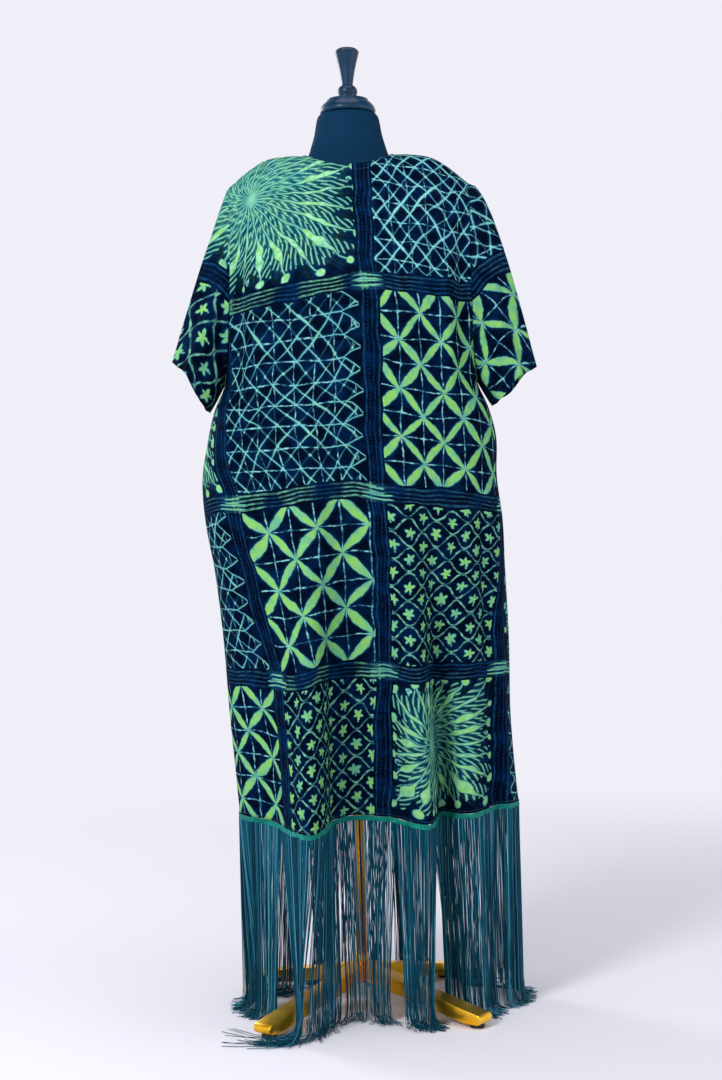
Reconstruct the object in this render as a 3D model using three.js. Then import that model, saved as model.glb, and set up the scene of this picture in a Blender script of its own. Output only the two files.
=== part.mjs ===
// A floor-length kaftan with short wide sleeves and a fringed hem, worn by a limbless dress form.
//
// Millimetres, +Z up, the wearer's front towards -Y. The origin is on the floor under the pole of the
// stand, which is also the bottom centre of the whole object's box.
//
// The cloth is a set of walls. Front and back are cut separately and meet at the sides and shoulders;
// each sleeve starts on the armhole that the two leave open. The hem carries a fringe on a header tape.
import * as THREE from "three";

// ---------------------------------------------------------------- driving sizes

const CLOTH = 1.5; // wall thickness of the garment
const SEAM = 0.25; // each piece stops this far short of a seam line
const HEM = 335; // height of the hem above the floor
const UNDERARM = 1055; // where side seam and armhole meet
const SHOULDER_ROUND = 90; // height over which the cloth rolls from the shoulder ridge to the chest
const NECK_HALF = 77; // half width of the neck opening, where the shoulder seams end
const FRONT_NECK = 1417; // height of the neckline at the centre front
const BACK_NECK = 1428; // and at the centre back
const NECK_CURVE = 2.4; // 2 would make the neckline a parabola
const SQUARENESS = 2.2; // 2 would make each body section an ellipse
const FOLD_FADE = 0.2; // share of the half width, at each side edge, over which the folds die out

// Body sections. left and right: panel edges. round: how much wider the whole ring is than the panels,
// above the underarm. front and back: depth from the side seams. turn: degrees the ring swings.
const SECTIONS = [
  { z: 335, left: -203, right: 274, round: 1.0, front: 112, back: 128, turn: 7 },
  { z: 420, left: -210, right: 266, round: 1.0, front: 115, back: 128, turn: 6 },
  { z: 500, left: -217, right: 261, round: 1.0, front: 118, back: 127, turn: 5 },
  { z: 620, left: -225, right: 260, round: 1.0, front: 122, back: 126, turn: 3.5 },
  { z: 740, left: -238, right: 255, round: 1.0, front: 127, back: 127, turn: 2.5 },
  { z: 820, left: -252, right: 252, round: 1.0, front: 131, back: 128, turn: 1.5 },
  { z: 895, left: -257, right: 243, round: 1.0, front: 134, back: 126, turn: 0.5 },
  { z: 960, left: -247, right: 243, round: 1.0, front: 136, back: 120, turn: 0 },
  { z: 1010, left: -235, right: 231, round: 1.0, front: 138, back: 116, turn: 0 },
  { z: 1055, left: -216, right: 212, round: 1.0, front: 139, back: 114, turn: 0 },
  { z: 1100, left: -206, right: 204, round: 1.06, front: 140, back: 112, turn: 0 },
  { z: 1215, left: -200, right: 200, round: 1.16, front: 142, back: 112, turn: 0 },
  { z: 1300, left: -200, right: 200, round: 1.19, front: 112, back: 110, turn: 0 },
  { z: 1360, left: -202, right: 202, round: 1.18, front: 90, back: 99, turn: 0 },
  { z: 1400, left: -204, right: 204, round: 1.16, front: 84, back: 97, turn: 0 },
  { z: 1445, left: -204, right: 204, round: 1.15, front: 95, back: 104, turn: 0 },
];

// Top of the cloth over the shoulders, from the centre outwards.
const RIDGE = [
  { x: 0, z: 1446 },
  { x: 77, z: 1443 },
  { x: 106, z: 1442.5 },
  { x: 140, z: 1437 },
  { x: 170, z: 1420 },
  { x: 204, z: 1392 },
];

// Long folds that fall from the bust, the shoulder blades and the armholes.
// top and foot: x where the fold starts and where it meets the hem. half: half width. depth: out of the
// panel if positive. from: height where it starts. grow: how far below that it is at full depth.
const FRONT_FOLDS = [
  { top: -66, foot: -104, half: 40, depth: 84, from: 1120, grow: 860 },
  { top: -150, foot: -152, half: 26, depth: -20, from: 940, grow: 620 },
  { top: -8, foot: -18, half: 42, depth: -42, from: 1060, grow: 760 },
  { top: 78, foot: 92, half: 32, depth: 48, from: 1080, grow: 780 },
  { top: 120, foot: 131, half: 19, depth: -62, from: 930, grow: 600 },
  { top: 196, foot: 176, half: 24, depth: 15, from: 1000, grow: 620 },
  { top: 206, foot: 224, half: 17, depth: -16, from: 960, grow: 560 },
];
const BACK_FOLDS = [
  { top: -150, foot: -138, half: 30, depth: 34, from: 1120, grow: 760 },
  { top: -92, foot: -84, half: 25, depth: -40, from: 980, grow: 640 },
  { top: -40, foot: -22, half: 34, depth: 46, from: 1180, grow: 840 },
  { top: 26, foot: 48, half: 26, depth: -36, from: 900, grow: 560 },
  { top: 88, foot: 116, half: 36, depth: 52, from: 1150, grow: 800 },
  { top: 150, foot: 184, half: 24, depth: -30, from: 1000, grow: 640 },
];
const HEM_DIPS = [
  { x: -104, half: 48, drop: 14 },
  { x: 92, half: 36, drop: 7 },
  { x: 250, half: 60, drop: -8 },
];

// Each sleeve hangs as a flat cone from its armhole. tip and under: the hem's upper and lower corners.
// front and back: how far the hem swings out. bulge: lift of the top fold. wave: ripple of the hem.
const BULGE_RISE = 0.35; // share of the bulge that goes up instead of out
const SLEEVES = {
  sleeve_left: {
    side: -1,
    tip: [-303, 0, 1104],
    under: [-246, 0, 1010],
    front: 76,
    back: 70,
    bulge: 3,
    wave: 9,
  },
  sleeve_right: {
    side: 1,
    tip: [313, 0, 1083],
    under: [241, 0, 1014],
    front: 72,
    back: 78,
    bulge: 17,
    wave: 6,
  },
};

// Header tape that the fringe hangs from. below: how far it starts under the hem.
const TAPE = { height: 12, thick: 2.6, proud: 0.5, below: 0.6 };
const FRINGE = {
  strands: 86, // on each of the two tapes
  root: 0.85, // half width of a strand where it leaves its tape, over the tape's whole thickness
  body: 0.95, // half width and half thickness below that
  tip: 0.7,
  settle: 46, // height by which a strand hangs straight, clear of the stand's legs
  lie: 2.4, // height of the ends that lie along the floor
  room: 3.6, // least space to the next strand for an end to lie down
  stub: 1.5, // length of an end that has no such room
};
// Where the fringe bunches and how far its ends run out on the floor.
// at: place along the tape, 0 to 1. spread: half width of the bunch. pull: how far strands lean to it, as a
// share of the tape. out: how far the bunch stands out from the hem at the floor. tail: length on the
// floor. sweep: how far the tails run to the right.
const FRONT_LOCKS = [
  { at: 0.05, spread: 0.06, pull: 0.004, out: -8, tail: 20, sweep: -14 },
  { at: 0.3, spread: 0.034, pull: 0, out: 46, tail: 14, sweep: 0 },
  { at: 0.289, spread: 0.011, pull: 0, out: 0, tail: 0, sweep: -110 },
  { at: 0.5, spread: 0.1, pull: 0.012, out: 8, tail: 12, sweep: 0 },
  { at: 0.69, spread: 0.06, pull: 0.014, out: 4, tail: 14, sweep: 0 },
  { at: 0.95, spread: 0.08, pull: 0.004, out: 0, tail: 2, sweep: 4 },
];
const BACK_LOCKS = [
  { at: 0.1, spread: 0.08, pull: 0.008, out: 0, tail: 24, sweep: -10 },
  { at: 0.36, spread: 0.09, pull: 0.014, out: 12, tail: 38, sweep: 10 },
  { at: 0.66, spread: 0.08, pull: 0.014, out: 18, tail: 54, sweep: -12 },
  { at: 0.92, spread: 0.07, pull: 0.006, out: 2, tail: 12, sweep: 2 },
];
// How the strands part over a leg. gap: clear space beside it. reach: half width of the parting.
const PARTING = { gap: 5, reach: 76, past: 275 };
const BASE_TAIL = 10; // length on the floor away from the bunches
const KNEE = 4; // how far a strand runs out between its last straight point and the floor

// Dress form: half width, front depth and back depth of each level, up to the top of the neck.
const FORM_RINGS = [
  { z: 745, half: 148, front: 90, back: 100 },
  { z: 758, half: 157, front: 97, back: 107 },
  { z: 860, half: 176, front: 108, back: 116 },
  { z: 950, half: 150, front: 97, back: 96 },
  { z: 1040, half: 122, front: 85, back: 76 },
  { z: 1120, half: 134, front: 97, back: 82 },
  { z: 1170, half: 147, front: 117, back: 88 },
  { z: 1212, half: 155, front: 129, back: 92 },
  { z: 1260, half: 162, front: 112, back: 95 },
  { z: 1310, half: 174, front: 91, back: 94 },
  { z: 1352, half: 184, front: 75, back: 83 },
  { z: 1379, half: 185, front: 63, back: 69 },
  { z: 1401, half: 167, front: 52, back: 56 },
  { z: 1416, half: 135, front: 45, back: 47 },
  { z: 1423.5, half: 103, front: 42, back: 44 },
  { z: 1430, half: 81, front: 41, back: 42 },
  { z: 1442, half: 69.5, front: 42, back: 42 },
  { z: 1458, half: 63.5, front: 45, back: 45 },
  { z: 1479, half: 57.5, front: 46, back: 46 },
  { z: 1499, half: 54, front: 46, back: 46 },
  { z: 1509, half: 51, front: 45, back: 45 },
  { z: 1514, half: 46, front: 41, back: 41 },
];
const FORM_SEGMENTS = 22;

// Turned parts, as radius and height.
const CAP_PROFILE = [
  { r: 46.5, z: 1514.6 },
  { r: 47.5, z: 1519 },
  { r: 45, z: 1526 },
  { r: 39, z: 1532.5 },
  { r: 36, z: 1534.5 },
  { r: 35, z: 1538 },
];
const FINIAL_PROFILE = [
  { r: 15.2, z: 1538.6 },
  { r: 15.6, z: 1545 },
  { r: 17, z: 1553 },
  { r: 14.5, z: 1559 },
  { r: 10, z: 1563 },
  { r: 9.8, z: 1567 },
  { r: 13.5, z: 1590 },
  { r: 20, z: 1617 },
  { r: 20, z: 1620 },
  { r: 16, z: 1624.5 },
  { r: 8, z: 1627 },
];
const TURNED_SEGMENTS = 16;

// Stand: a round pole in a collar on a hub with four sloping box legs.
const POLE = { r: 9.5, foot: 89.3, top: 744.6 };
const COLLAR = { r: 11.6, foot: 70.3, top: 89 };
const HUB = { half: 17.7, foot: 46, top: 70 };
const LEG = {
  first: 231.2, // azimuth of the front left leg, degrees from +X
  count: 4,
  start: 18, // distance of the inner end from the pole axis
  reach: 256,
  width: 35,
  tip: 8.5, // radius of the rounded end
  level: 31, // how far in from the end the underside turns level
  brow: 75, // degrees above level at which the rounded end runs into the top
  lift: 7, // underside of the tip above the floor
};
const FOOT = { r: 12, at: 238, height: 6.7 };

const COLOURS = {
  adire: 0x0b2a4a,
  fringe: 0x06465a,
  form: 0x023556,
  lacquer: 0x04253c,
  gold: 0xd5ac32,
  pad: 0x101418,
};

// ---------------------------------------------------------------- small helpers

const radians = (degrees) => (degrees * Math.PI) / 180;
const clamp = (x, low, high) => Math.min(Math.max(x, low), high);
const mix = (a, b, t) => a + (b - a) * t;
const smooth = (t) => t * t * (3 - 2 * t);
const bell = (x) => Math.exp(-x * x);

// A smooth curve through one column of a table, read at key = value. Flat beyond its ends.
function read(table, key, column, value) {
  const last = table.length - 1;
  if (value <= table[0][key]) return table[0][column];
  if (value >= table[last][key]) return table[last][column];
  let i = 0;
  while (value > table[i + 1][key]) i += 1;
  const slope = (k) => {
    const a = table[Math.max(k - 1, 0)];
    const b = table[Math.min(k + 1, last)];
    return (b[column] - a[column]) / (b[key] - a[key]);
  };
  const span = table[i + 1][key] - table[i][key];
  const t = (value - table[i][key]) / span;
  const [p, q] = [table[i][column], table[i + 1][column]];
  const [m, n] = [slope(i) * span, slope(i + 1) * span];
  return p + t * (m + t * (3 * (q - p) - 2 * m - n + t * (m + n - 2 * (q - p))));
}

function material(colour, roughness, metalness = 0) {
  return new THREE.MeshStandardMaterial({ color: colour, roughness, metalness });
}

function named(name, geometry, finish) {
  const mesh = new THREE.Mesh(geometry, finish);
  mesh.name = name;
  return mesh;
}

// A closed geometry from rings of equal length, each ring a closed loop, with both ends capped.
function loft(rings) {
  const around = rings[0].length;
  const points = rings.flat();
  const faces = [];
  for (let j = 0; j + 1 < rings.length; j += 1) {
    for (let i = 0; i < around; i += 1) {
      const a = j * around + i;
      const b = j * around + ((i + 1) % around);
      faces.push(a, b, b + around, a, b + around, a + around);
    }
  }
  const end = (rings.length - 1) * around;
  for (let i = 1; i + 1 < around; i += 1) faces.push(0, i + 1, i, end, end + i, end + i + 1);
  return fromPoints(points, faces);
}

function fromPoints(points, faces) {
  const flat = new Float32Array(points.flatMap((p) => [p.x, p.y, p.z]));
  const geometry = new THREE.BufferGeometry();
  geometry.setAttribute("position", new THREE.BufferAttribute(flat, 3));
  geometry.setIndex(faces);
  return geometry;
}

// ---------------------------------------------------------------- cloth walls

// A wall from a grid of { p, n }: outer points and outward normals, grid[row][column]. With closed set,
// the last column joins the first.
function wall(grid, thickness, closed) {
  const rows = grid.length;
  const columns = grid[0].length;
  const outer = grid.flat().map((g) => g.p);
  const inner = grid.flat().map((g) => g.p.clone().addScaledVector(g.n, -thickness));
  const half = rows * columns;
  const faces = [];
  const quad = (a, b, c, d) => faces.push(a, b, c, a, c, d);
  const spans = closed ? columns : columns - 1;
  for (let j = 0; j + 1 < rows; j += 1) {
    for (let i = 0; i < spans; i += 1) {
      const [a, b] = [j * columns + i, j * columns + ((i + 1) % columns)];
      quad(a, b, b + columns, a + columns);
      quad(half + a, half + a + columns, half + b + columns, half + b);
    }
  }
  for (let i = 0; i < spans; i += 1) {
    const [a, b] = [i, (i + 1) % columns];
    const top = (rows - 1) * columns;
    quad(a, half + a, half + b, b);
    quad(top + a, top + b, half + top + b, half + top + a);
  }
  for (let j = 0; !closed && j + 1 < rows; j += 1) {
    const [a, b] = [j * columns, (j + 1) * columns];
    const far = columns - 1;
    quad(a, b, half + b, half + a);
    quad(a + far, half + a + far, half + b + far, b + far);
  }
  return fromPoints([...outer, ...inner], faces);
}

// Depth that the folds add to a panel at x and z.
function foldDepth(folds, x, z) {
  return folds.reduce((sum, fold) => {
    const down = clamp((fold.from - z) / fold.grow, 0, 1);
    const place = mix(fold.top, fold.foot, clamp((fold.from - z) / (fold.from - HEM), 0, 1));
    return sum + fold.depth * smooth(down) * bell((x - place) / fold.half);
  }, 0);
}

const sectionAt = (column, z) => read(SECTIONS, "z", column, z);
const ridgeAt = (x) => read(RIDGE, "x", "z", Math.abs(x));
const hemAt = (x) => HEM_DIPS.reduce((z, dip) => z - dip.drop * bell((x - dip.x) / dip.half), HEM);

const FRONT = { facing: -1, depth: "front", neck: FRONT_NECK, folds: FRONT_FOLDS };
const BACK = { facing: 1, depth: "back", neck: BACK_NECK, folds: BACK_FOLDS };
FRONT.other = BACK;
BACK.other = FRONT;

const UNDERARM_V = 0.5; // share of a panel's rows below the underarm
const EDGE_BLEND = 130; // height over which columns even out above the underarm

// x across a panel: u runs from -1 at its left edge to 1 at its right edge.
function acrossAt(u, z) {
  const [left, right] = [sectionAt("left", z), sectionAt("right", z)];
  const spread = clamp((z - UNDERARM) / EDGE_BLEND, 0, 1);
  const share = mix(Math.sin(radians(90 * u)), u, smooth(spread));
  return (left + right) / 2 + (share * (right - left)) / 2;
}

// Top of a panel's column: the shoulder ridge, or the neckline between the shoulder seams.
function topOf(panel, u) {
  const x = acrossAt(u, SECTIONS[SECTIONS.length - 1].z);
  const beside = Math.abs(x) / NECK_HALF;
  if (beside >= 1) return ridgeAt(x);
  return mix(panel.neck, ridgeAt(NECK_HALF), beside ** NECK_CURVE);
}

// Height above the underarm, as a share of the armhole: a half wave, slow at both ends.
const rise = (share) => (1 - Math.cos(Math.PI * share)) / 2;

function heightAt(panel, u, v) {
  if (v <= UNDERARM_V) {
    const share = v / UNDERARM_V;
    const hem = hemAt(acrossAt(u, HEM));
    return mix(hem, UNDERARM, share);
  }
  return mix(UNDERARM, topOf(panel, u), rise((v - UNDERARM_V) / (1 - UNDERARM_V)));
}

// A point of the cloth's outer face.
function clothAt(panel, u, z) {
  const x = acrossAt(u, z);
  const [left, right] = [sectionAt("left", z), sectionAt("right", z)];
  const middle = (left + right) / 2;
  const ring = (sectionAt("round", z) * (right - left)) / 2;
  const beside = clamp(Math.abs(x - middle) / ring, 0, 1);
  const shape = (1 - beside ** SQUARENESS) ** (1 / SQUARENESS);
  const below = clamp((ridgeAt(x) - z) / SHOULDER_ROUND, 0, 1);
  const roll = Math.sqrt(1 - (1 - below) ** 2);
  const fold = foldDepth(panel.folds, x, z) * smooth(clamp((1 - beside) / FOLD_FADE, 0, 1));
  const y = panel.facing * (sectionAt(panel.depth, z) * shape * roll + fold);
  const turn = radians(sectionAt("turn", z));
  const [dx, dy] = [x - middle, y];
  return new THREE.Vector3(
    middle + dx * Math.cos(turn) - dy * Math.sin(turn),
    dx * Math.sin(turn) + dy * Math.cos(turn),
    z,
  );
}

// The same, by place on the panel. Past a side seam or a shoulder seam it goes on over the other panel.
function panelPoint(panel, u, v) {
  const column = clamp(u, -1, 1);
  if (v > 1) {
    const onRidge = Math.abs(acrossAt(column, SECTIONS.at(-1).z)) >= NECK_HALF;
    return onRidge ? panelPoint(panel.other, column, 2 - v) : panelPoint(panel, column, 1);
  }
  if (Math.abs(u) > 1) {
    const back = Math.sign(u) * (2 - Math.abs(u));
    return v <= UNDERARM_V ? panelPoint(panel.other, back, v) : panelPoint(panel, column, v);
  }
  return clothAt(panel, u, heightAt(panel, u, Math.max(v, 0)));
}

const STEP = 0.004;

function panelNormal(panel, u, v) {
  const across = panelPoint(panel, u + STEP, v).sub(panelPoint(panel, u - STEP, v));
  const up = panelPoint(panel, u, v + STEP).sub(panelPoint(panel, u, v - STEP));
  return across.cross(up).multiplyScalar(-panel.facing).normalize();
}

// Places of a panel's columns: even inside the neck opening, and even from there to the edge.
function columnPlaces() {
  const [inside, outside] = [6, 10];
  const corner = NECK_HALF / ((sectionAt("right", 1445) - sectionAt("left", 1445)) / 2);
  const half = [];
  for (let i = 1; i <= inside; i += 1) half.push((corner * i) / inside);
  for (let i = 1; i <= outside; i += 1) half.push(mix(corner, 1, i / outside));
  return [...half.map((u) => -u).reverse(), 0, ...half];
}

const COLUMNS = columnPlaces();
const BODY_ROWS = 10; // rows of faces from hem to underarm
const CHEST_ROWS = 10; // and from there to the shoulder, which the sleeves share

function rowPlaces() {
  const rows = [];
  for (let j = 0; j <= BODY_ROWS; j += 1) rows.push((UNDERARM_V * j) / BODY_ROWS);
  for (let j = 1; j <= CHEST_ROWS; j += 1) rows.push(mix(UNDERARM_V, 1, j / CHEST_ROWS));
  return rows;
}

// A panel's wall. Its edges stop short of the side and shoulder seams.
function bodyPanel(name, panel) {
  const grid = rowPlaces().map((v) =>
    COLUMNS.map((u) => {
      const p = panelPoint(panel, u, v);
      const atSide = Math.abs(u) === 1 && v <= UNDERARM_V;
      const onShoulder = v === 1 && Math.abs(acrossAt(u, SECTIONS.at(-1).z)) >= NECK_HALF - 1;
      if (atSide || onShoulder) p.y += panel.facing * SEAM;
      return { p, n: panelNormal(panel, u, v) };
    }),
  );
  if (panel === BACK) grid.forEach((row) => row.reverse());
  return named(name, wall(grid, CLOTH, false), material(COLOURS.adire, 0.85));
}

// ---------------------------------------------------------------- sleeves

const SLEEVE_AROUND = 2 * CHEST_ROWS;
const SLEEVE_ROWS = 6;

// Place on the armhole: phi is 0 at the shoulder, 180 at the underarm, and below 180 on the front.
function armholePoint(side, phi) {
  const panel = phi <= 180 ? FRONT : BACK;
  const v = mix(UNDERARM_V, 1, Math.abs(phi - 180) / 180);
  const z = heightAt(panel, side, v);
  return { p: clothAt(panel, side, z), n: panelNormal(panel, side * (1 - STEP), v) };
}

function sleevePoint(cut, share, phi) {
  const start = armholePoint(cut.side, phi).p;
  start.x += cut.side * 2 * SEAM;
  const down = (1 - Math.cos(radians(phi))) / 2;
  const [tip, under] = [new THREE.Vector3(...cut.tip), new THREE.Vector3(...cut.under)];
  const end = tip.lerp(under, down);
  const swing = Math.sin(radians(phi));
  end.y -= (swing > 0 ? cut.front : cut.back) * swing;
  end.z -= cut.wave * Math.sin(radians(3 * phi)) * Math.abs(swing);
  const p = start.lerp(end, share);
  const lift = cut.bulge * Math.sin(Math.PI * Math.sqrt(share)) * (1 - down) ** 2;
  p.x += cut.side * lift;
  p.z += BULGE_RISE * lift;
  return p;
}

function sleeveNormal(cut, share, phi) {
  const [near, far] = [Math.max(share - 0.02, 0), Math.min(share + 0.02, 1)];
  const along = sleevePoint(cut, far, phi).sub(sleevePoint(cut, near, phi));
  const around = sleevePoint(cut, share, (phi + 2) % 360).sub(
    sleevePoint(cut, share, (phi + 358) % 360),
  );
  return around.cross(along).multiplyScalar(cut.side).normalize();
}

function sleeve(name, cut) {
  const grid = [];
  for (let j = 0; j <= SLEEVE_ROWS; j += 1) {
    const share = j / SLEEVE_ROWS;
    const row = [];
    for (let i = 0; i < SLEEVE_AROUND; i += 1) {
      const phi = (360 * i) / SLEEVE_AROUND;
      const n = sleeveNormal(cut, Math.max(share, 0.03), phi);
      if (j === 0) {
        const down = (1 - Math.cos(radians(phi))) / 2;
        n.lerp(armholePoint(cut.side, phi).n, (1 - down) ** 0.5).normalize();
      }
      row.push({ p: sleevePoint(cut, share, phi), n });
    }
    grid.push(cut.side > 0 ? row : row.reverse());
  }
  return named(name, wall(grid, CLOTH, true), material(COLOURS.adire, 0.85));
}

// ---------------------------------------------------------------- fringe

// The hem line of a panel at one of its columns, pushed out from the cloth and dropped below it.
function hemCorner(panel, u, out, drop) {
  const n = panelNormal(panel, clamp(u, -1 + STEP, 1 - STEP), 0);
  n.z = 0;
  n.normalize();
  const p = panelPoint(panel, u, 0).addScaledVector(n, out);
  if (Math.abs(u) === 1) p.y += panel.facing * SEAM;
  p.z -= drop;
  return { p, n };
}

// The same anywhere along the hem, on the straight line between the columns beside it.
function hemPoint(panel, u, out, drop) {
  let i = 0;
  while (i + 2 < COLUMNS.length && u > COLUMNS[i + 1]) i += 1;
  const near = hemCorner(panel, COLUMNS[i], out, drop).p;
  const far = hemCorner(panel, COLUMNS[i + 1], out, drop).p;
  return near.lerp(far, (u - COLUMNS[i]) / (COLUMNS[i + 1] - COLUMNS[i]));
}

// Moves a point on the floor plan out of the way of the legs, unless it is past their ends.
function partAroundLegs(p) {
  const clear = LEG.width / 2 + PARTING.gap;
  for (let k = 0; k < LEG.count; k += 1) {
    const a = radians(LEG.first + (360 * k) / LEG.count);
    const along = p.x * Math.cos(a) + p.y * Math.sin(a);
    const off = -p.x * Math.sin(a) + p.y * Math.cos(a);
    if (along < 0 || along > PARTING.past || Math.abs(off) > PARTING.reach) continue;
    const moved = Math.sign(off || 1) * (clear + Math.abs(off) * (1 - clear / PARTING.reach));
    p.x = along * Math.cos(a) - moved * Math.sin(a);
    p.y = along * Math.sin(a) + moved * Math.cos(a);
  }
  return p;
}

// Where each strand of a tape starts, and where it stands over the floor.
function strandPlaces(panel, locks) {
  const places = [];
  for (let i = 0; i < FRINGE.strands; i += 1) {
    // the tape's columns crowd towards the side seams, so the shares spread out there
    const share = Math.acos(1 - (2 * (i + 0.5)) / FRINGE.strands) / Math.PI;
    const weigh = (lock) => bell((share - lock.at) / lock.spread);
    const sum = (value) => locks.reduce((total, lock) => total + value(lock) * weigh(lock), 0);
    const drawn = locks.reduce((at, lock) => {
      const off = (share - lock.at) / lock.spread;
      return at - lock.pull * off * bell(off);
    }, share);
    const low = hemPoint(panel, 2 * drawn - 1, 0, 0).setZ(0);
    const outward = low.clone().normalize();
    low.addScaledVector(outward, sum((lock) => lock.out));
    const tail = BASE_TAIL + sum((lock) => lock.tail);
    const sweep = sum((lock) => lock.sweep);
    places.push({ u: 2 * share - 1, low: partAroundLegs(low), outward, tail, sweep });
  }
  return places;
}

// Below its tape a strand hangs straight, then runs out along the floor where it has the room.
function strandPath(places, i) {
  const { low, outward, tail, sweep } = places[i];
  const sideways = new THREE.Vector3(-outward.y, outward.x, 0);
  const beside = places
    .slice(Math.max(i - 3, 0), i + 4)
    .filter((place) => place !== places[i])
    .map((place) => Math.abs(place.low.clone().sub(low).dot(sideways)));
  const run = Math.min(...beside) > FRINGE.room ? tail : FRINGE.stub;
  const bend = low.clone().setZ(FRINGE.lie).addScaledVector(outward, KNEE);
  const end = bend.clone().addScaledVector(outward, run);
  end.x += run === tail ? sweep : 0;
  return [low.clone().setZ(FRINGE.settle), bend, end];
}

// Places along a tape's lower edge: both edges of each strand, between the tape's two ends.
function tapeStops(panel, places) {
  const stops = places.flatMap(({ u }) => {
    const span = hemPoint(panel, u + STEP, 0, 0).distanceTo(hemPoint(panel, u - STEP, 0, 0));
    const half = (FRINGE.root * 2 * STEP) / span;
    return [u - half, u + half];
  });
  return [-1, ...stops, 1];
}

// Square sections of a strand along its path: outer face first, then round to the inner face.
function strandRings({ outward }, path, halves) {
  return path.map((p, k) => {
    const ahead = path[Math.min(k + 1, path.length - 1)];
    const behind = path[Math.max(k - 1, 0)];
    const run = k === 0 ? new THREE.Vector3(0, 0, -1) : ahead.clone().sub(behind).normalize();
    const side = new THREE.Vector3(-outward.y, outward.x, 0);
    side.addScaledVector(run, -side.dot(run)).normalize();
    const face = run.clone().cross(side);
    const corner = (a, b) =>
      p.clone().addScaledVector(side, a * halves[k]).addScaledVector(face, b * halves[k]);
    return [corner(-1, 1), corner(1, 1), corner(1, -1), corner(-1, -1)];
  });
}

// A header tape whose lower edge runs on into its strands, as one closed mesh.
function fringe(name, panel, locks) {
  const places = strandPlaces(panel, locks);
  const stops = tapeStops(panel, places);
  const strands = places.map((place, i) => ({ place, path: strandPath(places, i) }));
  if (panel === BACK) [stops, strands].forEach((list) => list.reverse());

  const points = [];
  const faces = [];
  const quad = (a, b, c, d) => faces.push(a, b, c, a, c, d);
  const row = (out, drop) => {
    const first = points.length;
    stops.forEach((u) => points.push(hemPoint(panel, u, out, drop)));
    return first;
  };
  const [proud, inside] = [TAPE.proud, TAPE.proud - TAPE.thick];
  const [top, bottom] = [TAPE.below, TAPE.below + TAPE.height];
  const [topOut, topIn] = [row(proud, top), row(inside, top)];
  const [lowOut, lowIn] = [row(proud, bottom), row(inside, bottom)];
  const last = stops.length - 1;
  for (let k = 0; k < last; k += 1) {
    quad(topOut + k, lowOut + k, lowOut + k + 1, topOut + k + 1);
    quad(topIn + k, topIn + k + 1, lowIn + k + 1, lowIn + k);
    quad(topOut + k, topOut + k + 1, topIn + k + 1, topIn + k);
    if (k % 2 === 0) quad(lowOut + k, lowIn + k, lowIn + k + 1, lowOut + k + 1);
  }
  quad(topOut, topIn, lowIn, lowOut);
  quad(topOut + last, lowOut + last, lowIn + last, topIn + last);

  const halves = [FRINGE.body, FRINGE.body, FRINGE.tip];
  strands.forEach(({ place, path }, i) => {
    const k = 2 * i + 1;
    let ring = [lowOut + k, lowOut + k + 1, lowIn + k + 1, lowIn + k];
    strandRings(place, path, halves).forEach((corners) => {
      const next = corners.map((p) => points.push(p) - 1);
      ring.forEach((a, j) => quad(a, next[j], next[(j + 1) % 4], ring[(j + 1) % 4]));
      ring = next;
    });
    quad(ring[0], ring[3], ring[2], ring[1]);
  });
  return named(name, fromPoints(points, faces), material(COLOURS.fringe, 0.5));
}

// ---------------------------------------------------------------- dress form and stand

function formBody() {
  const rings = FORM_RINGS.map((ring) => {
    const loop = [];
    for (let i = 0; i < FORM_SEGMENTS; i += 1) {
      const a = (2 * Math.PI * i) / FORM_SEGMENTS;
      const depth = Math.sin(a) < 0 ? ring.front : ring.back;
      loop.push(new THREE.Vector3(ring.half * Math.cos(a), depth * Math.sin(a), ring.z));
    }
    return loop;
  });
  return named("form_body", loft(rings), material(COLOURS.form, 0.9));
}

// A solid of revolution about the pole axis, closed on that axis at both ends.
function turned(name, profile, finish) {
  const bottom = { r: 0, z: profile[0].z };
  const top = { r: 0, z: profile[profile.length - 1].z };
  const outline = [bottom, ...profile, top].map(({ r, z }) => new THREE.Vector2(r, z));
  const geometry = new THREE.LatheGeometry(outline, TURNED_SEGMENTS);
  geometry.rotateX(Math.PI / 2);
  return named(name, geometry, finish);
}

function post(name, { r, foot, top }, finish) {
  const geometry = new THREE.CylinderGeometry(r, r, top - foot, TURNED_SEGMENTS);
  geometry.rotateX(Math.PI / 2).translate(0, 0, (top + foot) / 2);
  return named(name, geometry, finish);
}

// Side view of a leg: x runs out from the pole axis, y is height.
function legOutline() {
  const outline = new THREE.Shape();
  const [end, tip] = [LEG.reach, LEG.tip];
  outline.moveTo(LEG.start, HUB.foot);
  outline.lineTo(end - LEG.level, LEG.lift);
  outline.lineTo(end - tip, LEG.lift);
  outline.absarc(end - tip, LEG.lift + tip, tip, radians(-90), radians(LEG.brow), false);
  outline.lineTo(LEG.start, HUB.top);
  outline.closePath();
  return outline;
}

function leg(name, azimuth) {
  const geometry = new THREE.ExtrudeGeometry(legOutline(), {
    depth: LEG.width,
    bevelEnabled: false,
    curveSegments: 6,
  });
  geometry.translate(0, 0, -LEG.width / 2).rotateX(Math.PI / 2);
  const mesh = named(name, geometry, material(COLOURS.gold, 0.25, 1));
  mesh.rotation.z = azimuth;
  return mesh;
}

function foot(name, azimuth) {
  const geometry = new THREE.CylinderGeometry(FOOT.r, FOOT.r, FOOT.height, TURNED_SEGMENTS);
  geometry.rotateX(Math.PI / 2).translate(FOOT.at, 0, FOOT.height / 2);
  const mesh = named(name, geometry, material(COLOURS.pad, 0.7));
  mesh.rotation.z = azimuth;
  return mesh;
}

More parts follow.
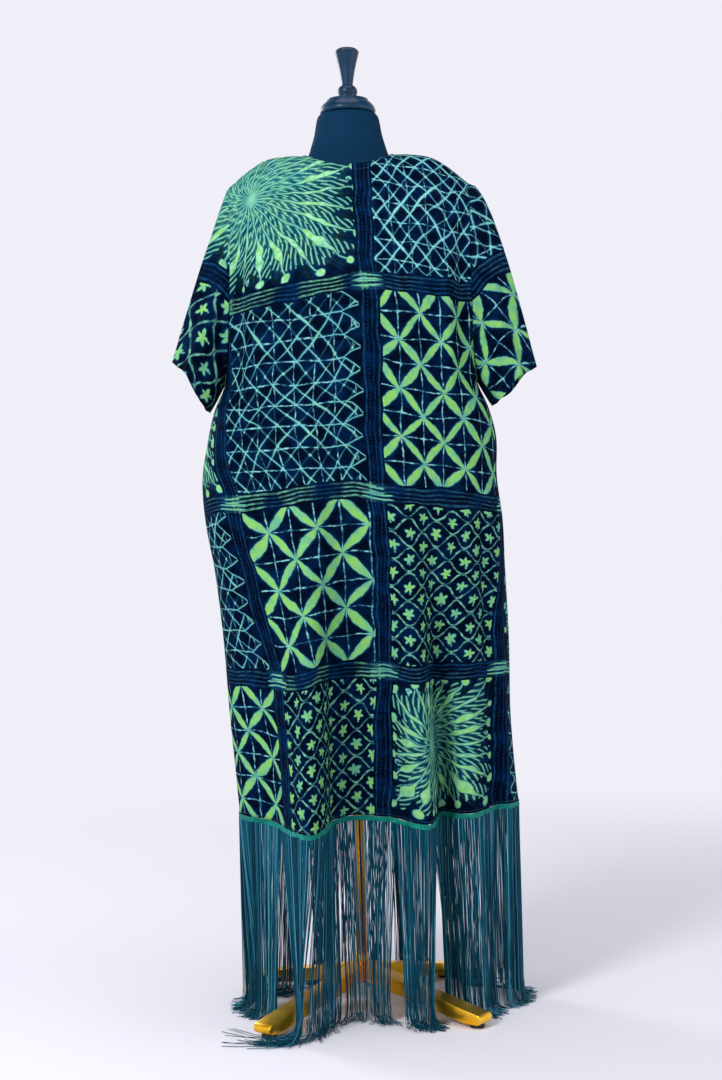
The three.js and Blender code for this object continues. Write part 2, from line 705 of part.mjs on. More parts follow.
function hub() {
  const size = 2 * HUB.half;
  const geometry = new THREE.BoxGeometry(size, size, HUB.top - HUB.foot);
  geometry.translate(0, 0, (HUB.top + HUB.foot) / 2);
  const mesh = named("hub", geometry, material(COLOURS.gold, 0.25, 1));
  mesh.rotation.z = radians(LEG.first);
  return mesh;
}

function stand() {
  const gold = material(COLOURS.gold, 0.25, 1);
  const group = new THREE.Group();
  group.add(post("pole", POLE, gold), post("pole_collar", COLLAR, gold), hub());
  for (let k = 0; k < LEG.count; k += 1) {
    const azimuth = radians(LEG.first + (360 * k) / LEG.count);
    group.add(leg(`leg_${k + 1}`, azimuth), foot(`foot_${k + 1}`, azimuth));
  }
  return group;
}

// ---------------------------------------------------------------- the object

const kaftan = new THREE.Group();
kaftan.add(bodyPanel("front_panel", FRONT), bodyPanel("back_panel", BACK));
for (const [name, cut] of Object.entries(SLEEVES)) kaftan.add(sleeve(name, cut));
kaftan.add(fringe("fringe_front", FRONT, FRONT_LOCKS), fringe("fringe_back", BACK, BACK_LOCKS));

const lacquer = material(COLOURS.lacquer, 0.2);
const dressForm = new THREE.Group();
dressForm.add(formBody(), turned("neck_cap", CAP_PROFILE, lacquer));
dressForm.add(turned("finial", FINIAL_PROFILE, lacquer), stand());

const model = new THREE.Group();
model.add(kaftan, dressForm);

export default model;
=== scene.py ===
# A floor-length adire kaftan with a fringed hem, worn by a limbless dress form on a gold stand.
#
# The cloth shells follow the solids' own form, read from the same tables of sections and folds in
# millimetres, and add the fine creases, the resist-dyed pattern, the stitching and the loose yarns.
import math
import random
from functools import reduce

import bpy
import numpy as np
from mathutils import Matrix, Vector


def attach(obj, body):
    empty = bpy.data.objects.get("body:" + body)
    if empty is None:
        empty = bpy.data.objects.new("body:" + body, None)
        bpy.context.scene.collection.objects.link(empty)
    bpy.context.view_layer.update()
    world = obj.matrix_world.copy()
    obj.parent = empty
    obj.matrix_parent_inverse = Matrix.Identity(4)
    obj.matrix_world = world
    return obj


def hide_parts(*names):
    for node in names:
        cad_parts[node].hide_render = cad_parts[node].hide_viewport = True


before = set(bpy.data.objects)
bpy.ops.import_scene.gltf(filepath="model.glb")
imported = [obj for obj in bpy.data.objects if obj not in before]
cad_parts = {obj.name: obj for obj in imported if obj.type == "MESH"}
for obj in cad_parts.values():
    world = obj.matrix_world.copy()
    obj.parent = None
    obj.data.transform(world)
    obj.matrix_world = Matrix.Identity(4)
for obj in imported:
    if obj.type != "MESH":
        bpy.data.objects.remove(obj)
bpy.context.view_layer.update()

MM = 0.001


def table(columns, rows):
    """A table with named columns, as one array for each column."""
    return {name: np.array([row[i] for row in rows], float) for i, name in enumerate(columns)}


# ---- the cut and the hang, in millimetres

HEM = 335.0
UNDERARM = 1055.0
CHEST = 1215.0
SHOULDER_ROUND = 90.0
NECK_HALF = 77.0
NECK_CURVE = 2.4
SQUARENESS = 2.2
FOLD_FADE = 0.2
EDGE_BLEND = 130.0
SEAM = 0.25
CLOTH = 0.7
CREASE_FADE = 0.3  # share of a crease in which it fades out
RUNS_OUT = 30.0  # a crease that ends this near the hem runs out at full depth

# Sections of the kaftan: height, left and right edge, roundness, depth in front and behind, turn in degrees.
SECTIONS = table(("z", "left", "right", "round", "front", "back", "turn"), [
    (335, -203, 274, 1.00, 112, 128, 7.0),
    (420, -210, 266, 1.00, 115, 128, 6.0),
    (500, -217, 261, 1.00, 118, 127, 5.0),
    (620, -225, 260, 1.00, 122, 126, 3.5),
    (740, -238, 255, 1.00, 127, 127, 2.5),
    (820, -252, 252, 1.00, 131, 128, 1.5),
    (895, -257, 243, 1.00, 134, 126, 0.5),
    (960, -247, 243, 1.00, 136, 120, 0.0),
    (1010, -235, 231, 1.00, 138, 116, 0.0),
    (1055, -216, 212, 1.00, 139, 114, 0.0),
    (1100, -206, 204, 1.06, 140, 112, 0.0),
    (1215, -200, 200, 1.16, 142, 112, 0.0),
    (1300, -200, 200, 1.19, 112, 110, 0.0),
    (1360, -202, 202, 1.18, 90, 99, 0.0),
    (1400, -204, 204, 1.16, 84, 97, 0.0),
    (1445, -204, 204, 1.15, 95, 104, 0.0),
])
TOP = SECTIONS["z"][-1]
RIDGE = table(("x", "z"), [(0, 1446), (77, 1443), (106, 1442.5), (140, 1437), (170, 1420), (204, 1392)])

# Long folds: x where each starts and where it meets the hem, half width, depth out of the panel, the
# height where it starts and how far below that it is at full depth.
FOLD_COLUMNS = ("top", "foot", "half", "depth", "start", "grow")
FRONT_FOLDS = table(FOLD_COLUMNS, [
    (-66, -104, 40, 84, 1120, 860),
    (-150, -152, 26, -20, 940, 620),
    (-8, -18, 42, -42, 1060, 760),
    (78, 92, 32, 48, 1080, 780),
    (120, 131, 19, -62, 930, 600),
    (196, 176, 24, 15, 1000, 620),
    (206, 224, 17, -16, 960, 560),
])
BACK_FOLDS = table(FOLD_COLUMNS, [
    (-150, -138, 30, 34, 1120, 760),
    (-92, -84, 25, -40, 980, 640),
    (-40, -22, 34, 46, 1180, 840),
    (26, 48, 26, -36, 900, 560),
    (88, 116, 36, 52, 1150, 800),
    (150, 184, 24, -30, 1000, 640),
])
HEM_DIPS = table(("x", "half", "drop"), [(-104, 48, 14), (92, 36, 7), (250, 60, -8)])

# Fine creases: a bent line from (x1, z1) by (x2, z2) to (x3, z3), half width and depth.
CREASE_COLUMNS = ("x1", "z1", "x2", "z2", "x3", "z3", "half", "depth")
FRONT_CREASES = table(CREASE_COLUMNS, [
    (-92, 850, -104, 690, -120, 380, 8, -10.0),
    (-48, 680, -53, 500, -56, 330, 9, -17.0),
    (212, 930, 211, 780, 208, 570, 6, -8.1),
    (188, 1345, 184, 1200, 194, 1040, 11, -15.0),
    (-190, 1340, -184, 1200, -197, 1030, 11, -15.0),
    (-168, 1290, -164, 1180, -172, 1000, 12, 8.0),
    (164, 1300, 162, 1180, 168, 1010, 12, 8.0),
    (-150, 1400, -120, 1300, -60, 1215, 15, 4.7),
    (146, 1402, 118, 1310, 62, 1220, 15, 4.7),
    (-30, 1405, -34, 1340, -40, 1240, 13, 3.5),
    (34, 1405, 40, 1320, 52, 1230, 14, 3.0),
    (4, 1150, -4, 1000, 2, 800, 15, 4.1),
    (-118, 1130, -134, 1000, -166, 900, 13, 5.4),
    (-40, 1040, -38, 900, -44, 760, 12, -4.3),
    (44, 1090, 50, 900, 54, 640, 11, 5.4),
    (28, 700, 34, 520, 40, 340, 9, -10.0),
    (62, 560, 66, 450, 70, 340, 7, 5.4),
    (150, 980, 160, 800, 168, 620, 10, -6.1),
    (-196, 900, -190, 700, -180, 400, 11, -6.8),
    (-222, 1010, -232, 900, -214, 640, 9, 6.8),
    (160, 620, 156, 480, 152, 340, 8, 6.8),
    (236, 860, 244, 640, 250, 360, 9, 6.8),
    (-150, 700, -140, 520, -134, 350, 7, 6.1),
    (100, 1210, 118, 1120, 150, 1050, 12, -4.1),
    (-84, 1205, -110, 1110, -150, 1050, 12, -4.1),
])
BACK_CREASES = table(CREASE_COLUMNS, [
    (-184, 1350, -180, 1210, -194, 1040, 11, -13.0),
    (186, 1350, 182, 1200, 192, 1035, 11, -14.0),
    (-120, 1410, -90, 1330, -30, 1290, 16, 4.1),
    (116, 1412, 92, 1325, 24, 1280, 14, 4.6),
    (-60, 1240, -64, 1050, -70, 860, 12, -5.4),
    (60, 1260, 66, 1080, 72, 820, 13, 5.9),
    (4, 1300, 0, 1120, 6, 900, 15, -4.1),
    (-130, 1160, -150, 1020, -190, 900, 12, 5.4),
    (132, 1150, 156, 1010, 200, 880, 12, 5.9),
    (-112, 800, -110, 600, -104, 340, 8, -9.5),
    (12, 760, 14, 560, 10, 340, 9, -8.1),
    (70, 700, 78, 500, 82, 340, 8, 6.8),
    (140, 800, 150, 600, 160, 350, 10, -8.1),
    (-190, 860, -180, 620, -170, 360, 10, 7.4),
    (220, 900, 226, 660, 236, 360, 9, -6.8),
    (-54, 660, -50, 500, -52, 340, 7, 6.1),
])

FRONT = {"facing": -1, "depth": "front", "neck": 1417.0, "folds": FRONT_FOLDS, "creases": FRONT_CREASES}
BACK = {"facing": 1, "depth": "back", "neck": 1428.0, "folds": BACK_FOLDS, "creases": BACK_CREASES}

SLEEVES = {
    "sleeve_left": {"side": -1, "tip": (-303, 0, 1104), "under": (-242, 0, 1010),
                    "front": 76, "back": 70, "bulge": 3, "wave": 9, "tilt": 38},
    "sleeve_right": {"side": 1, "tip": (313, 0, 1083), "under": (237, 0, 1014),
                     "front": 72, "back": 78, "bulge": 17, "wave": 6, "tilt": 46},
}
BULGE_RISE = 0.35

# Locks of the fringe: place along the hem, half width, how far it draws together and out, and how long its
# yarns lie on the floor, outwards and sideways.
LOCK_COLUMNS = ("at", "spread", "pull", "out", "tail", "sweep")
FRONT_LOCKS = table(LOCK_COLUMNS, [
    (0.05, 0.06, 0.004, -28, 12, -10),
    (0.3, 0.05, 0.055, 44, 14, 0),
    (0.292, 0.026, 0.0, 0, 0, -112),
    (0.5, 0.1, 0.012, 8, 12, 0),
    (0.69, 0.06, 0.004, 4, 14, 0),
    (0.95, 0.08, 0.004, 0, 2, 4),
])
BACK_LOCKS = table(LOCK_COLUMNS, [
    (0.1, 0.08, 0.008, -18, 14, -6),
    (0.36, 0.09, 0.014, 12, 38, 10),
    (0.66, 0.08, 0.014, 18, 54, -12),
    (0.92, 0.07, 0.006, 2, 12, 2),
])
# The stand: angles in degrees, distances from the pole's axis and heights.
LEG = {"first": 231.2, "count": 4, "start": 18.0, "reach": 256.0, "width": 35.0, "tip": 8.5,
       "level": 31.0, "brow": 75.0, "lift": 7.0}
HUB = {"half": 17.7, "foot": 46.0, "top": 70.0}
PAD = {"from_pole": 238, "profile": [(11.0, 0.0), (12, 0.8), (12, 5.9), (11.2, 6.7)]}


# ---- small helpers

def mix(a, b, t):
    return a + (b - a) * t


def smooth(t):
    """A soft step: 0 up to 0, and 1 from 1 on."""
    t = np.clip(t, 0, 1)
    return t * t * (3 - 2 * t)


def bell(x):
    return np.exp(-x * x)


def cubic(p, q, m, n, t):
    """A curve from p to q that leaves with slope m and arrives with slope n."""
    return p + t * (m + t * (3 * (q - p) - 2 * m - n + t * (m + n - 2 * (q - p))))


def read(rows, key, column, value):
    """A smooth curve through one column of a table, flat beyond its ends."""
    keys, values = rows[key], rows[column]
    value = np.clip(value, keys[0], keys[-1])
    i = np.clip(np.searchsorted(keys, value, side="right") - 1, 0, len(keys) - 2)
    here = np.arange(len(keys))
    before, after = np.maximum(here - 1, 0), np.minimum(here + 1, len(keys) - 1)
    slopes = (values[after] - values[before]) / (keys[after] - keys[before])
    span = keys[i + 1] - keys[i]
    return cubic(values[i], values[i + 1], slopes[i] * span, slopes[i + 1] * span, (value - keys[i]) / span)


def placed(name, data):
    """An object with its data, in the scene."""
    obj = bpy.data.objects.new(name, data)
    bpy.context.scene.collection.objects.link(obj)
    return obj


def applied(obj):
    """The plain mesh that an object's modifiers make of it."""
    bpy.context.view_layer.update()
    seen = obj.evaluated_get(bpy.context.evaluated_depsgraph_get())
    return bpy.data.meshes.new_from_object(seen)


def mesh_object(name, points, faces, uv=None, edges=()):
    """An object in metres from points in millimetres. uv gives one pair for each corner of each face."""
    mesh = bpy.data.meshes.new(name)
    mesh.from_pydata((np.asarray(points, float) * MM).tolist(), list(edges), faces)
    if uv is not None:
        layer = mesh.uv_layers.new(name="cloth")
        layer.data.foreach_set("uv", np.asarray(uv, np.float32).ravel())
    mesh.validate()
    mesh.update()
    return placed(name, mesh)


def finished(obj, slot, material, *nodes):
    """Gives a piece its finish, hangs it on the frame and hides the solids that it stands for."""
    obj.data.materials.clear()
    obj.data.materials.append(material)
    obj.data.polygons.foreach_set("use_smooth", [True] * len(obj.data.polygons))
    obj.data.update()
    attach(obj, "root")
    if nodes:
        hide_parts(*nodes)
    return obj


# ---- form of the panels

def section(column, z):
    return read(SECTIONS, "z", column, z)


def ridge(x):
    return read(RIDGE, "x", "z", np.abs(x))


def hem_height(x):
    dips = sum(drop * bell((x - at) / half) for at, half, drop in zip(*HEM_DIPS.values()))
    return HEM - dips


def fold_depth(folds, x, z):
    total = np.zeros(np.broadcast(x, z).shape)
    for top, foot, half, depth, start, grow in zip(*folds.values()):
        place = mix(top, foot, np.clip((start - z) / (start - HEM), 0, 1))
        total = total + depth * smooth((start - z) / grow) * bell((x - place) / half)
    return total


def crease_depth(creases, x, z):
    """Soft creases, each along a bent line, which fade out towards both ends, but not at the hem."""
    total = np.zeros(np.broadcast(x, z).shape)
    for x1, z1, x2, z2, x3, z3, half, depth in zip(*creases.values()):
        t = np.clip((z - z1) / (z3 - z1), 0, 1)
        middle = (z2 - z1) / (z3 - z1)
        bend = (x2 - mix(x1, x3, middle)) / (middle * (1 - middle))
        line = mix(x1, x3, t) + bend * t * (1 - t)
        fade = smooth(t / CREASE_FADE)
        if z3 >= HEM + RUNS_OUT:
            fade = fade * smooth((1 - t) / CREASE_FADE)
        total = total + depth * fade * bell((x - line) / half)
    return total


def across(u, z):
    left, right = section("left", z), section("right", z)
    spread = smooth((z - UNDERARM) / EDGE_BLEND)
    share = mix(np.sin(np.radians(90) * u), u, spread)
    return (left + right) / 2 + share * (right - left) / 2


def column_top(panel, u):
    x = across(u, TOP)
    beside = np.abs(x) / NECK_HALF
    neckline = mix(panel["neck"], ridge(NECK_HALF), np.minimum(beside, 1) ** NECK_CURVE)
    return np.where(beside >= 1, ridge(x), neckline)


def panel_height(panel, u, v):
    """Height at u across and v up a panel: v is 0 at the hem, 0.5 at the underarm, 1 at the top."""
    low = mix(hem_height(across(u, HEM)), UNDERARM, np.clip(v / 0.5, 0, 1))
    share = np.clip((v - 0.5) / 0.5, 0, 1)
    return np.where(v <= 0.5, low, mix(UNDERARM, column_top(panel, u), (1 - np.cos(math.pi * share)) / 2))


def cloth_point(panel, u, z, creased=True):
    """Outer face of a panel, as an array of points."""
    x = across(u, z)
    left, right = section("left", z), section("right", z)
    middle, reach = (left + right) / 2, section("round", z) * (right - left) / 2
    beside = np.clip(np.abs(x - middle) / reach, 0, 1)
    shape = (1 - beside ** SQUARENESS) ** (1 / SQUARENESS)
    below = np.clip((ridge(x) - z) / SHOULDER_ROUND, 0, 1)
    roll = np.sqrt(1 - (1 - below) ** 2)
    fold = fold_depth(panel["folds"], x, z)
    if creased:
        fold = fold + crease_depth(panel["creases"], x, z) * roll
    fold = fold * smooth((1 - beside) / FOLD_FADE)
    y = panel["facing"] * (section(panel["depth"], z) * shape * roll + fold)
    turn = np.radians(section("turn", z))
    dx = x - middle
    return np.stack([middle + dx * np.cos(turn) - y * np.sin(turn),
                     dx * np.sin(turn) + y * np.cos(turn), z + 0 * x], axis=-1)


def grid_normals(grid, facing):
    """Outward unit normals of a grid of points, from its neighbours."""
    side = np.gradient(grid, axis=1)
    up = np.gradient(grid, axis=0)
    normal = np.cross(side, up) * facing
    return normal / np.maximum(np.linalg.norm(normal, axis=-1, keepdims=True), 1e-9)


def shell(name, grid, uv, thickness, flip, closed=False):
    """A thin closed shell on a grid of outer points. With closed, the last column lies on the first."""
    rows, columns = grid.shape[:2]
    normals = grid_normals(grid, -1 if flip else 1)
    if closed:
        seam = normals[:, 0] + normals[:, -1]
        seam /= np.linalg.norm(seam, axis=-1, keepdims=True)
        normals[:, 0] = normals[:, -1] = seam
    used = columns - 1 if closed else columns
    inner = grid - normals * thickness
    points = np.concatenate([grid[:, :used].reshape(-1, 3), inner[:, :used].reshape(-1, 3)])
    layer = rows * used

    def quads(turned, *corners):
        """Quads whose corners are each a layer, a row and a column of the grid."""
        index = np.stack([n * layer + r * used + c % used for n, r, c in corners], -1)
        corner = np.stack([uv[r, c] for _, r, c in corners], -2)
        return (index[:, ::-1], corner[:, ::-1]) if turned else (index, corner)

    def face(n, turned):
        j, i = (a.ravel() for a in np.meshgrid(np.arange(rows - 1), np.arange(columns - 1), indexing="ij"))
        return quads(turned, (n, j, i), (n, j, i + 1), (n, j + 1, i + 1), (n, j + 1, i))

    def rim(r, c, r2, c2, turned):
        return quads(turned, (0, r, c), (0, r2, c2), (1, r2, c2), (1, r, c))

    line, down = np.arange(columns - 1), np.arange(rows - 1)
    low, top = 0 * line, 0 * line + rows - 1
    parts = [face(0, False), face(1, True)]
    parts.append(rim(low, line, low, line + 1, True))
    parts.append(rim(top, line, top, line + 1, False))
    if not closed:
        first, last = 0 * down, 0 * down + columns - 1
        parts.append(rim(down, first, down + 1, first, False))
        parts.append(rim(down, last, down + 1, last, True))
    faces, corners = (np.concatenate(part) for part in zip(*parts))
    if flip:
        faces, corners = faces[:, ::-1], corners[:, ::-1]
    return mesh_object(name, points, faces.tolist(), corners.reshape(-1, 2))


# ---- cloth coordinates, in centimetres

# Where the middle band of the cloth hangs, and how much the rows of the pattern lean on each side.
BAND_PLACE = table(("z", "x"), [
    (335, 25), (490, 34), (570, 38), (690, 38), (808, 39), (924, 36), (1030, 34), (1157, 31), (1242, 26),
    (1428, 21)])
LEAN = table(("z", "left", "right"), [
    (335, 0.0, 0.0), (582, 0.07, 0.06), (875, 0.10, 0.12), (1213, 0.18, 0.07), (1440, 0.14, 0.04)])
# Where the next band to the right hangs low down, where the cloth is eased in, and the heights between
# which that comes to an end.
RIGHT_BAND = table(("z", "x"), [(335, 231), (404, 234), (544, 240)])
EASED = (560, 760)
# The heights between which the cloth is eased in over the chest on the left, and by what share.
CHEST_EASE = {"foot": 850, "rise": 120, "top": 1280, "fall": 80, "share": 0.08}
MIDDLE_BAND = 3.4
BAND_EDGE = (1.6, 1.45)
PANEL_WIDTH = 26.0
COLUMN_EDGE = 22.6
CROSS_BANDS = (121.3, 87.3, 57.9)
HEM_V = 33.5
UNDERARM_V = 105.5


def run_length(grid, axis):
    """Length along the rows or the columns of a grid, in centimetres."""
    step = np.linalg.norm(np.diff(grid, axis=axis), axis=-1) / 10
    ahead = [(0, 0), (0, 0)]
    ahead[axis] = (1, 0)
    return np.pad(np.cumsum(step, axis=axis), ahead)


def panel_uv(panel, grid, u, v, shift):
    """Cloth coordinates of a panel: across by length along the rows, up by height, then by length."""
    length, climb = run_length(grid, 1), run_length(grid, 0)
    x, z = across(u, grid[..., 2]), grid[..., 2]

    def length_at(places):
        """How far along its row each of these places is."""
        return np.array([np.interp(at, row, far) for at, row, far in zip(places, x, length)])

    anchor = length_at(read(BAND_PLACE, "z", "x", z[:, :1])[:, 0])
    beyond = length - anchor[:, None]
    if panel is FRONT:
        edge = np.interp(z[:, 0], RIGHT_BAND["z"], RIGHT_BAND["x"])
        full = length_at(edge) - anchor
        share = 1 - smooth((z[:, 0] - EASED[0]) / (EASED[1] - EASED[0]))
        ease = mix(1.0, full / PANEL_WIDTH, share)[:, None]
        chest = smooth((z - CHEST_EASE["foot"]) / CHEST_EASE["rise"])
        chest = chest * smooth((CHEST_EASE["top"] - z) / CHEST_EASE["fall"])
        beyond = np.where(beyond > 0, beyond / ease, beyond / (1 + CHEST_EASE["share"] * chest))
    side = beyond + MIDDLE_BAND
    low = mix(HEM_V, UNDERARM_V, v / 0.5)
    chest_row = int(np.argmin(np.abs(z[:, grid.shape[1] // 2] - CHEST)))
    low = np.where(v <= 0.5, low, z / 10)
    up = np.where(z > CHEST, z[chest_row] / 10 + climb - climb[chest_row], low)
    lean = np.where(x < 0, read(LEAN, "z", "left", z), read(LEAN, "z", "right", z))
    return np.stack([side * -panel["facing"] + shift, up + lean * np.abs(x) / 10], axis=-1)


ROWS_LOW, ROWS_HIGH, COLUMNS = 190, 96, 153  # fineness of a panel below and above the underarm, and across
HEM_FOLD = 0.5  # how far a turned hem stands out
NECK_ROWS, CUFF_ROWS = 4, 6  # rows of the turned hems


def even_rows(count_low, count_high):
    """Places up a panel that are even in height below and above the underarm."""
    low = np.linspace(0, 0.5, count_low + 1)
    high = 0.5 + 0.5 * np.arccos(1 - 2 * np.linspace(0, 1, count_high + 1)[1:]) / math.pi
    return np.concatenate([low, high])


def body_panel(name, panel, shift):
    rows = even_rows(ROWS_LOW, ROWS_HIGH)
    u, v = np.meshgrid(np.linspace(-1, 1, COLUMNS), rows)
    grid = cloth_point(panel, u, panel_height(panel, u, v))
    at_side = (np.abs(u) == 1) & (v <= 0.5)
    at_top = np.abs(across(u, TOP))
    on_shoulder = (v == 1) & (at_top >= NECK_HALF - 1)
    grid[..., 1] += panel["facing"] * SEAM * (at_side | on_shoulder)
    normals = grid_normals(grid, -panel["facing"])
    at_neck = (np.arange(len(rows)) >= len(rows) - NECK_ROWS)[:, None] & (at_top < NECK_HALF)
    grid = grid + normals * (HEM_FOLD * at_neck)[..., None]
    uv = panel_uv(panel, grid, u, v, shift)
    return shell(name, grid, uv, CLOTH, flip=panel is BACK), grid, normals


def armhole(side, phi):
    """The armhole, all round: phi is 0 at the shoulder, 180 at the underarm, less than that in front."""
    v = mix(0.5, 1.0, np.abs(phi - 180) / 180)
    ends = []
    for panel in (FRONT, BACK):
        z = panel_height(panel, side + 0 * v, v)
        ends.append(cloth_point(panel, side + 0 * v, z, creased=False))
    return np.where((phi <= 180)[..., None], ends[0], ends[1])


def sleeve_point(cut, share, phi):
    start = armhole(cut["side"], phi)
    start[..., 0] += cut["side"] * 2 * SEAM
    down = (1 - np.cos(np.radians(phi))) / 2
    end = mix(np.array(cut["tip"], float), np.array(cut["under"], float), down[..., None])
    swing = np.sin(np.radians(phi))
    end[..., 1] -= np.where(swing > 0, cut["front"], cut["back"]) * swing
    end[..., 2] -= cut["wave"] * np.sin(np.radians(3 * phi)) * np.abs(swing)
    p = mix(start, end, share[..., None])
    lift = cut["bulge"] * np.sin(math.pi * np.sqrt(share)) * (1 - down) ** 2
    p[..., 0] += cut["side"] * lift
    p[..., 2] += BULGE_RISE * lift
    return p


# Creases of a sleeve: degrees round it at the armhole and at the hem, half width in degrees, depth.
SLEEVE_CREASES = [(22, 30, 7, -3.5), (48, 62, 9, 3.5), (84, 84, 8, -4.5), (118, 108, 9, 4.0),
                  (150, 136, 8, -4.0), (206, 222, 9, 4.0), (246, 250, 9, -4.5), (286, 276, 10, 3.5),
                  (326, 318, 8, -3.0)]
SLEEVE_FADE = 0.25  # share of a sleeve in which its creases come in
ARMHOLE_PUFF, PUFF_PLACE = 8.0, 0.16  # how far the cloth stands up beside the armhole seam, and where
# The sleeves' place on the cloth, in centimetres: the way round the cuff, the front of the armhole, and for
# each side where it starts across and up the cloth and at what scale. The left one is cut along the cloth,
# and the right one across it.
CUFF_WAY = (0.5, 0.86)
SLEEVE_START = (21.0, 121.8)
SLEEVE_CLOTH = {-1: ((MIDDLE_BAND + PANEL_WIDTH, 0.8), (72.0, 0.66)),
                1: ((16.0, 0.86), (CROSS_BANDS[0], 0.9))}


def sleeve(name, cut):
    around, along = 121, 44
    # from the underarm up the front, over the top and down the back to the underarm
    phi_line = np.concatenate([np.linspace(180, 0, around), np.linspace(360, 180, around)[1:]])
    phi, share = np.meshgrid(phi_line, np.linspace(0, 1, along))
    wrapped = np.where(phi == 360, 0, phi)
    grid = sleeve_point(cut, share, wrapped)
    normal = grid_normals(grid, cut["side"])
    fade = smooth(share / SLEEVE_FADE)
    for at, foot, half, depth in SLEEVE_CREASES:
        grid = grid + normal * (depth * fade * bell((phi - mix(at, foot, share)) / half))[..., None]
    puff = ARMHOLE_PUFF * bell((share - PUFF_PLACE) / PUFF_PLACE) * np.abs(np.sin(np.radians(phi)))
    grid = grid + normal * puff[..., None]
    turned_back = (np.arange(along) >= along - CUFF_ROWS)[:, None, None]
    grid = grid + normal * (HEM_FOLD * turned_back)
    length = run_length(grid, 1)
    front = int(np.argmin(np.abs(phi_line[:around] - 90)))
    t = length - length[:, front:front + 1]
    way = mix(np.array([0.0, 1.0]), np.array(CUFF_WAY), share[:, :1, None])
    way = way / np.linalg.norm(way, axis=-1, keepdims=True)
    flat = np.stack([np.abs(grid[:, front, 0]), grid[:, front, 2]], -1)[:, None] / 10 + way * t[..., None]
    tilt = math.radians(cut["tilt"])
    out, up = flat[..., 0] - SLEEVE_START[0], flat[..., 1] - SLEEVE_START[1]
    lies = [-out * math.sin(tilt) + up * math.cos(tilt), out * math.cos(tilt) + up * math.sin(tilt)]
    if cut["side"] > 0:
        lies.reverse()
    uv = np.stack([at + lie * scale for lie, (at, scale) in zip(lies, SLEEVE_CLOTH[cut["side"]])], -1)
    return shell(name, grid, uv, CLOTH, flip=cut["side"] > 0, closed=True), grid, normal


# ---- fringe

def leg_angles():
    return [math.radians(LEG["first"] + 360 * k / LEG["count"]) for k in range(LEG["count"])]


LEG_GAP, LEG_REACH, LEG_PAST = 5.0, 76.0, 275.0  # room beside a leg, how far off it moves yarns, its end


def part_around_legs(x, y):
    """Moves a place on the floor out of the way of the legs."""
    clear = LEG["width"] / 2 + LEG_GAP
    for a in leg_angles():
        along = x * math.cos(a) + y * math.sin(a)
        off = -x * math.sin(a) + y * math.cos(a)
        if 0 <= along <= LEG_PAST and abs(off) <= LEG_REACH:
            off = math.copysign(clear + abs(off) * (1 - clear / LEG_REACH), off or 1)
            x = along * math.cos(a) - off * math.sin(a)
            y = along * math.sin(a) + off * math.cos(a)
    return x, y


class HemLine:
    """The hem of a panel, read by its share of the way across."""

    def __init__(self, panel):
        self.u = np.linspace(-1, 1, 801)
        height = panel_height(panel, self.u, 0 * self.u)
        self.points = cloth_point(panel, self.u, height)
        run = np.gradient(self.points[:, :2], axis=0)
        normal = np.stack([run[:, 1], -run[:, 0]], -1) * -panel["facing"]
        self.normals = normal / np.linalg.norm(normal, axis=-1, keepdims=True)
        step = np.linalg.norm(np.diff(self.points, axis=0), axis=-1)
        self.length = np.concatenate([[0], np.cumsum(step)])

    def at_length(self, share):
        return np.interp(share * self.length[-1], self.length, self.u)

    def point(self, u, out=0.0):
        p = np.stack([np.interp(u, self.u, self.points[:, k]) for k in range(3)], -1)
        n = np.stack([np.interp(u, self.u, self.normals[:, k]) for k in range(2)], -1)
        n = n / np.linalg.norm(n, axis=-1, keepdims=True)
        p[..., :2] += n * np.asarray(out)[..., None]
        return p


TAPE = {"foot": 8.6, "top": 0.4, "rows": 7, "columns": 361, "out": 1.3, "thick": 1.4}


def header_tape(name, panel, hem):
    """Ribbon under the hem that the yarns are sewn into."""
    u = hem.at_length(np.linspace(0, 1, TAPE["columns"]))
    rows = []
    for k, drop in enumerate(np.linspace(TAPE["foot"], TAPE["top"], TAPE["rows"])):
        ripple = 0.35 * np.sin(u * 61 + k) + 0.25 * np.sin(u * 143)
        p = hem.point(u, TAPE["out"] + ripple)
        p[:, 2] -= drop + 0.3 * np.sin(u * 37)
        rows.append(p)
    grid = np.array(rows)
    place = np.stack(np.broadcast_arrays(u[None] * hem.length[-1] / 20, grid[..., 2] / 10), -1)
    return shell(name, grid, place, TAPE["thick"], flip=panel is BACK)


YARNS, YARN_SIDES, CLUMPS = 1100, 4, 96  # places for yarns on each side of the kaftan
# Where the yarns part: share of the way across, half width, how far they move aside, how many are missing.
PARTINGS = {"front": [(0.325, 0.03, 0.006, 0.3), (0.45, 0.018, 0.0, 0.72), (0.515, 0.03, 0.014, 0.3),
                      (0.8, 0.02, 0.006, 0.4)],
            "back": [(0.2, 0.04, 0.01, 0.3), (0.5, 0.2, 0.0, 0.55), (0.545, 0.05, 0.02, 0.0),
                     (0.8, 0.05, 0.012, 0.3)]}
ROOT_DROP, SETTLE = 6.8, 40.0  # how far below the hem a yarn starts, and how low it starts to bend
BEND = 5.0  # how far out a yarn bends
HANG_STEPS = (0, 0.04, 0.14, 0.28, 0.44, 0.6, 0.76, 0.9, 1.0)
FLOOR_LIMITS = (-312, 322, -272, 262)  # left, right, front and back of where yarns may lie


def within_limits(start, reach):
    """A reach along the floor, cut short where it would pass the limits."""
    left, right, front, back = FLOOR_LIMITS
    share = 1.0
    for value, step, low, high in zip(start, reach, (left, front), (right, back)):
        room = (high - value) if step > 0 else (value - low)
        share = min(share, max(room, 0.0) / max(abs(step), 0.001))
    return reach * share


def hanging(root, low_xy, waver, phase):
    """A yarn's way down to where it starts to bend."""
    path = []
    for t in HANG_STEPS:
        xy = mix(root[:2], low_xy, smooth(t) * 0.35 + t * 0.65)
        xy = xy + waver * math.sin(phase + 7 * t) * t
        path.append((*xy, mix(root[2], SETTLE, t)))
    return path


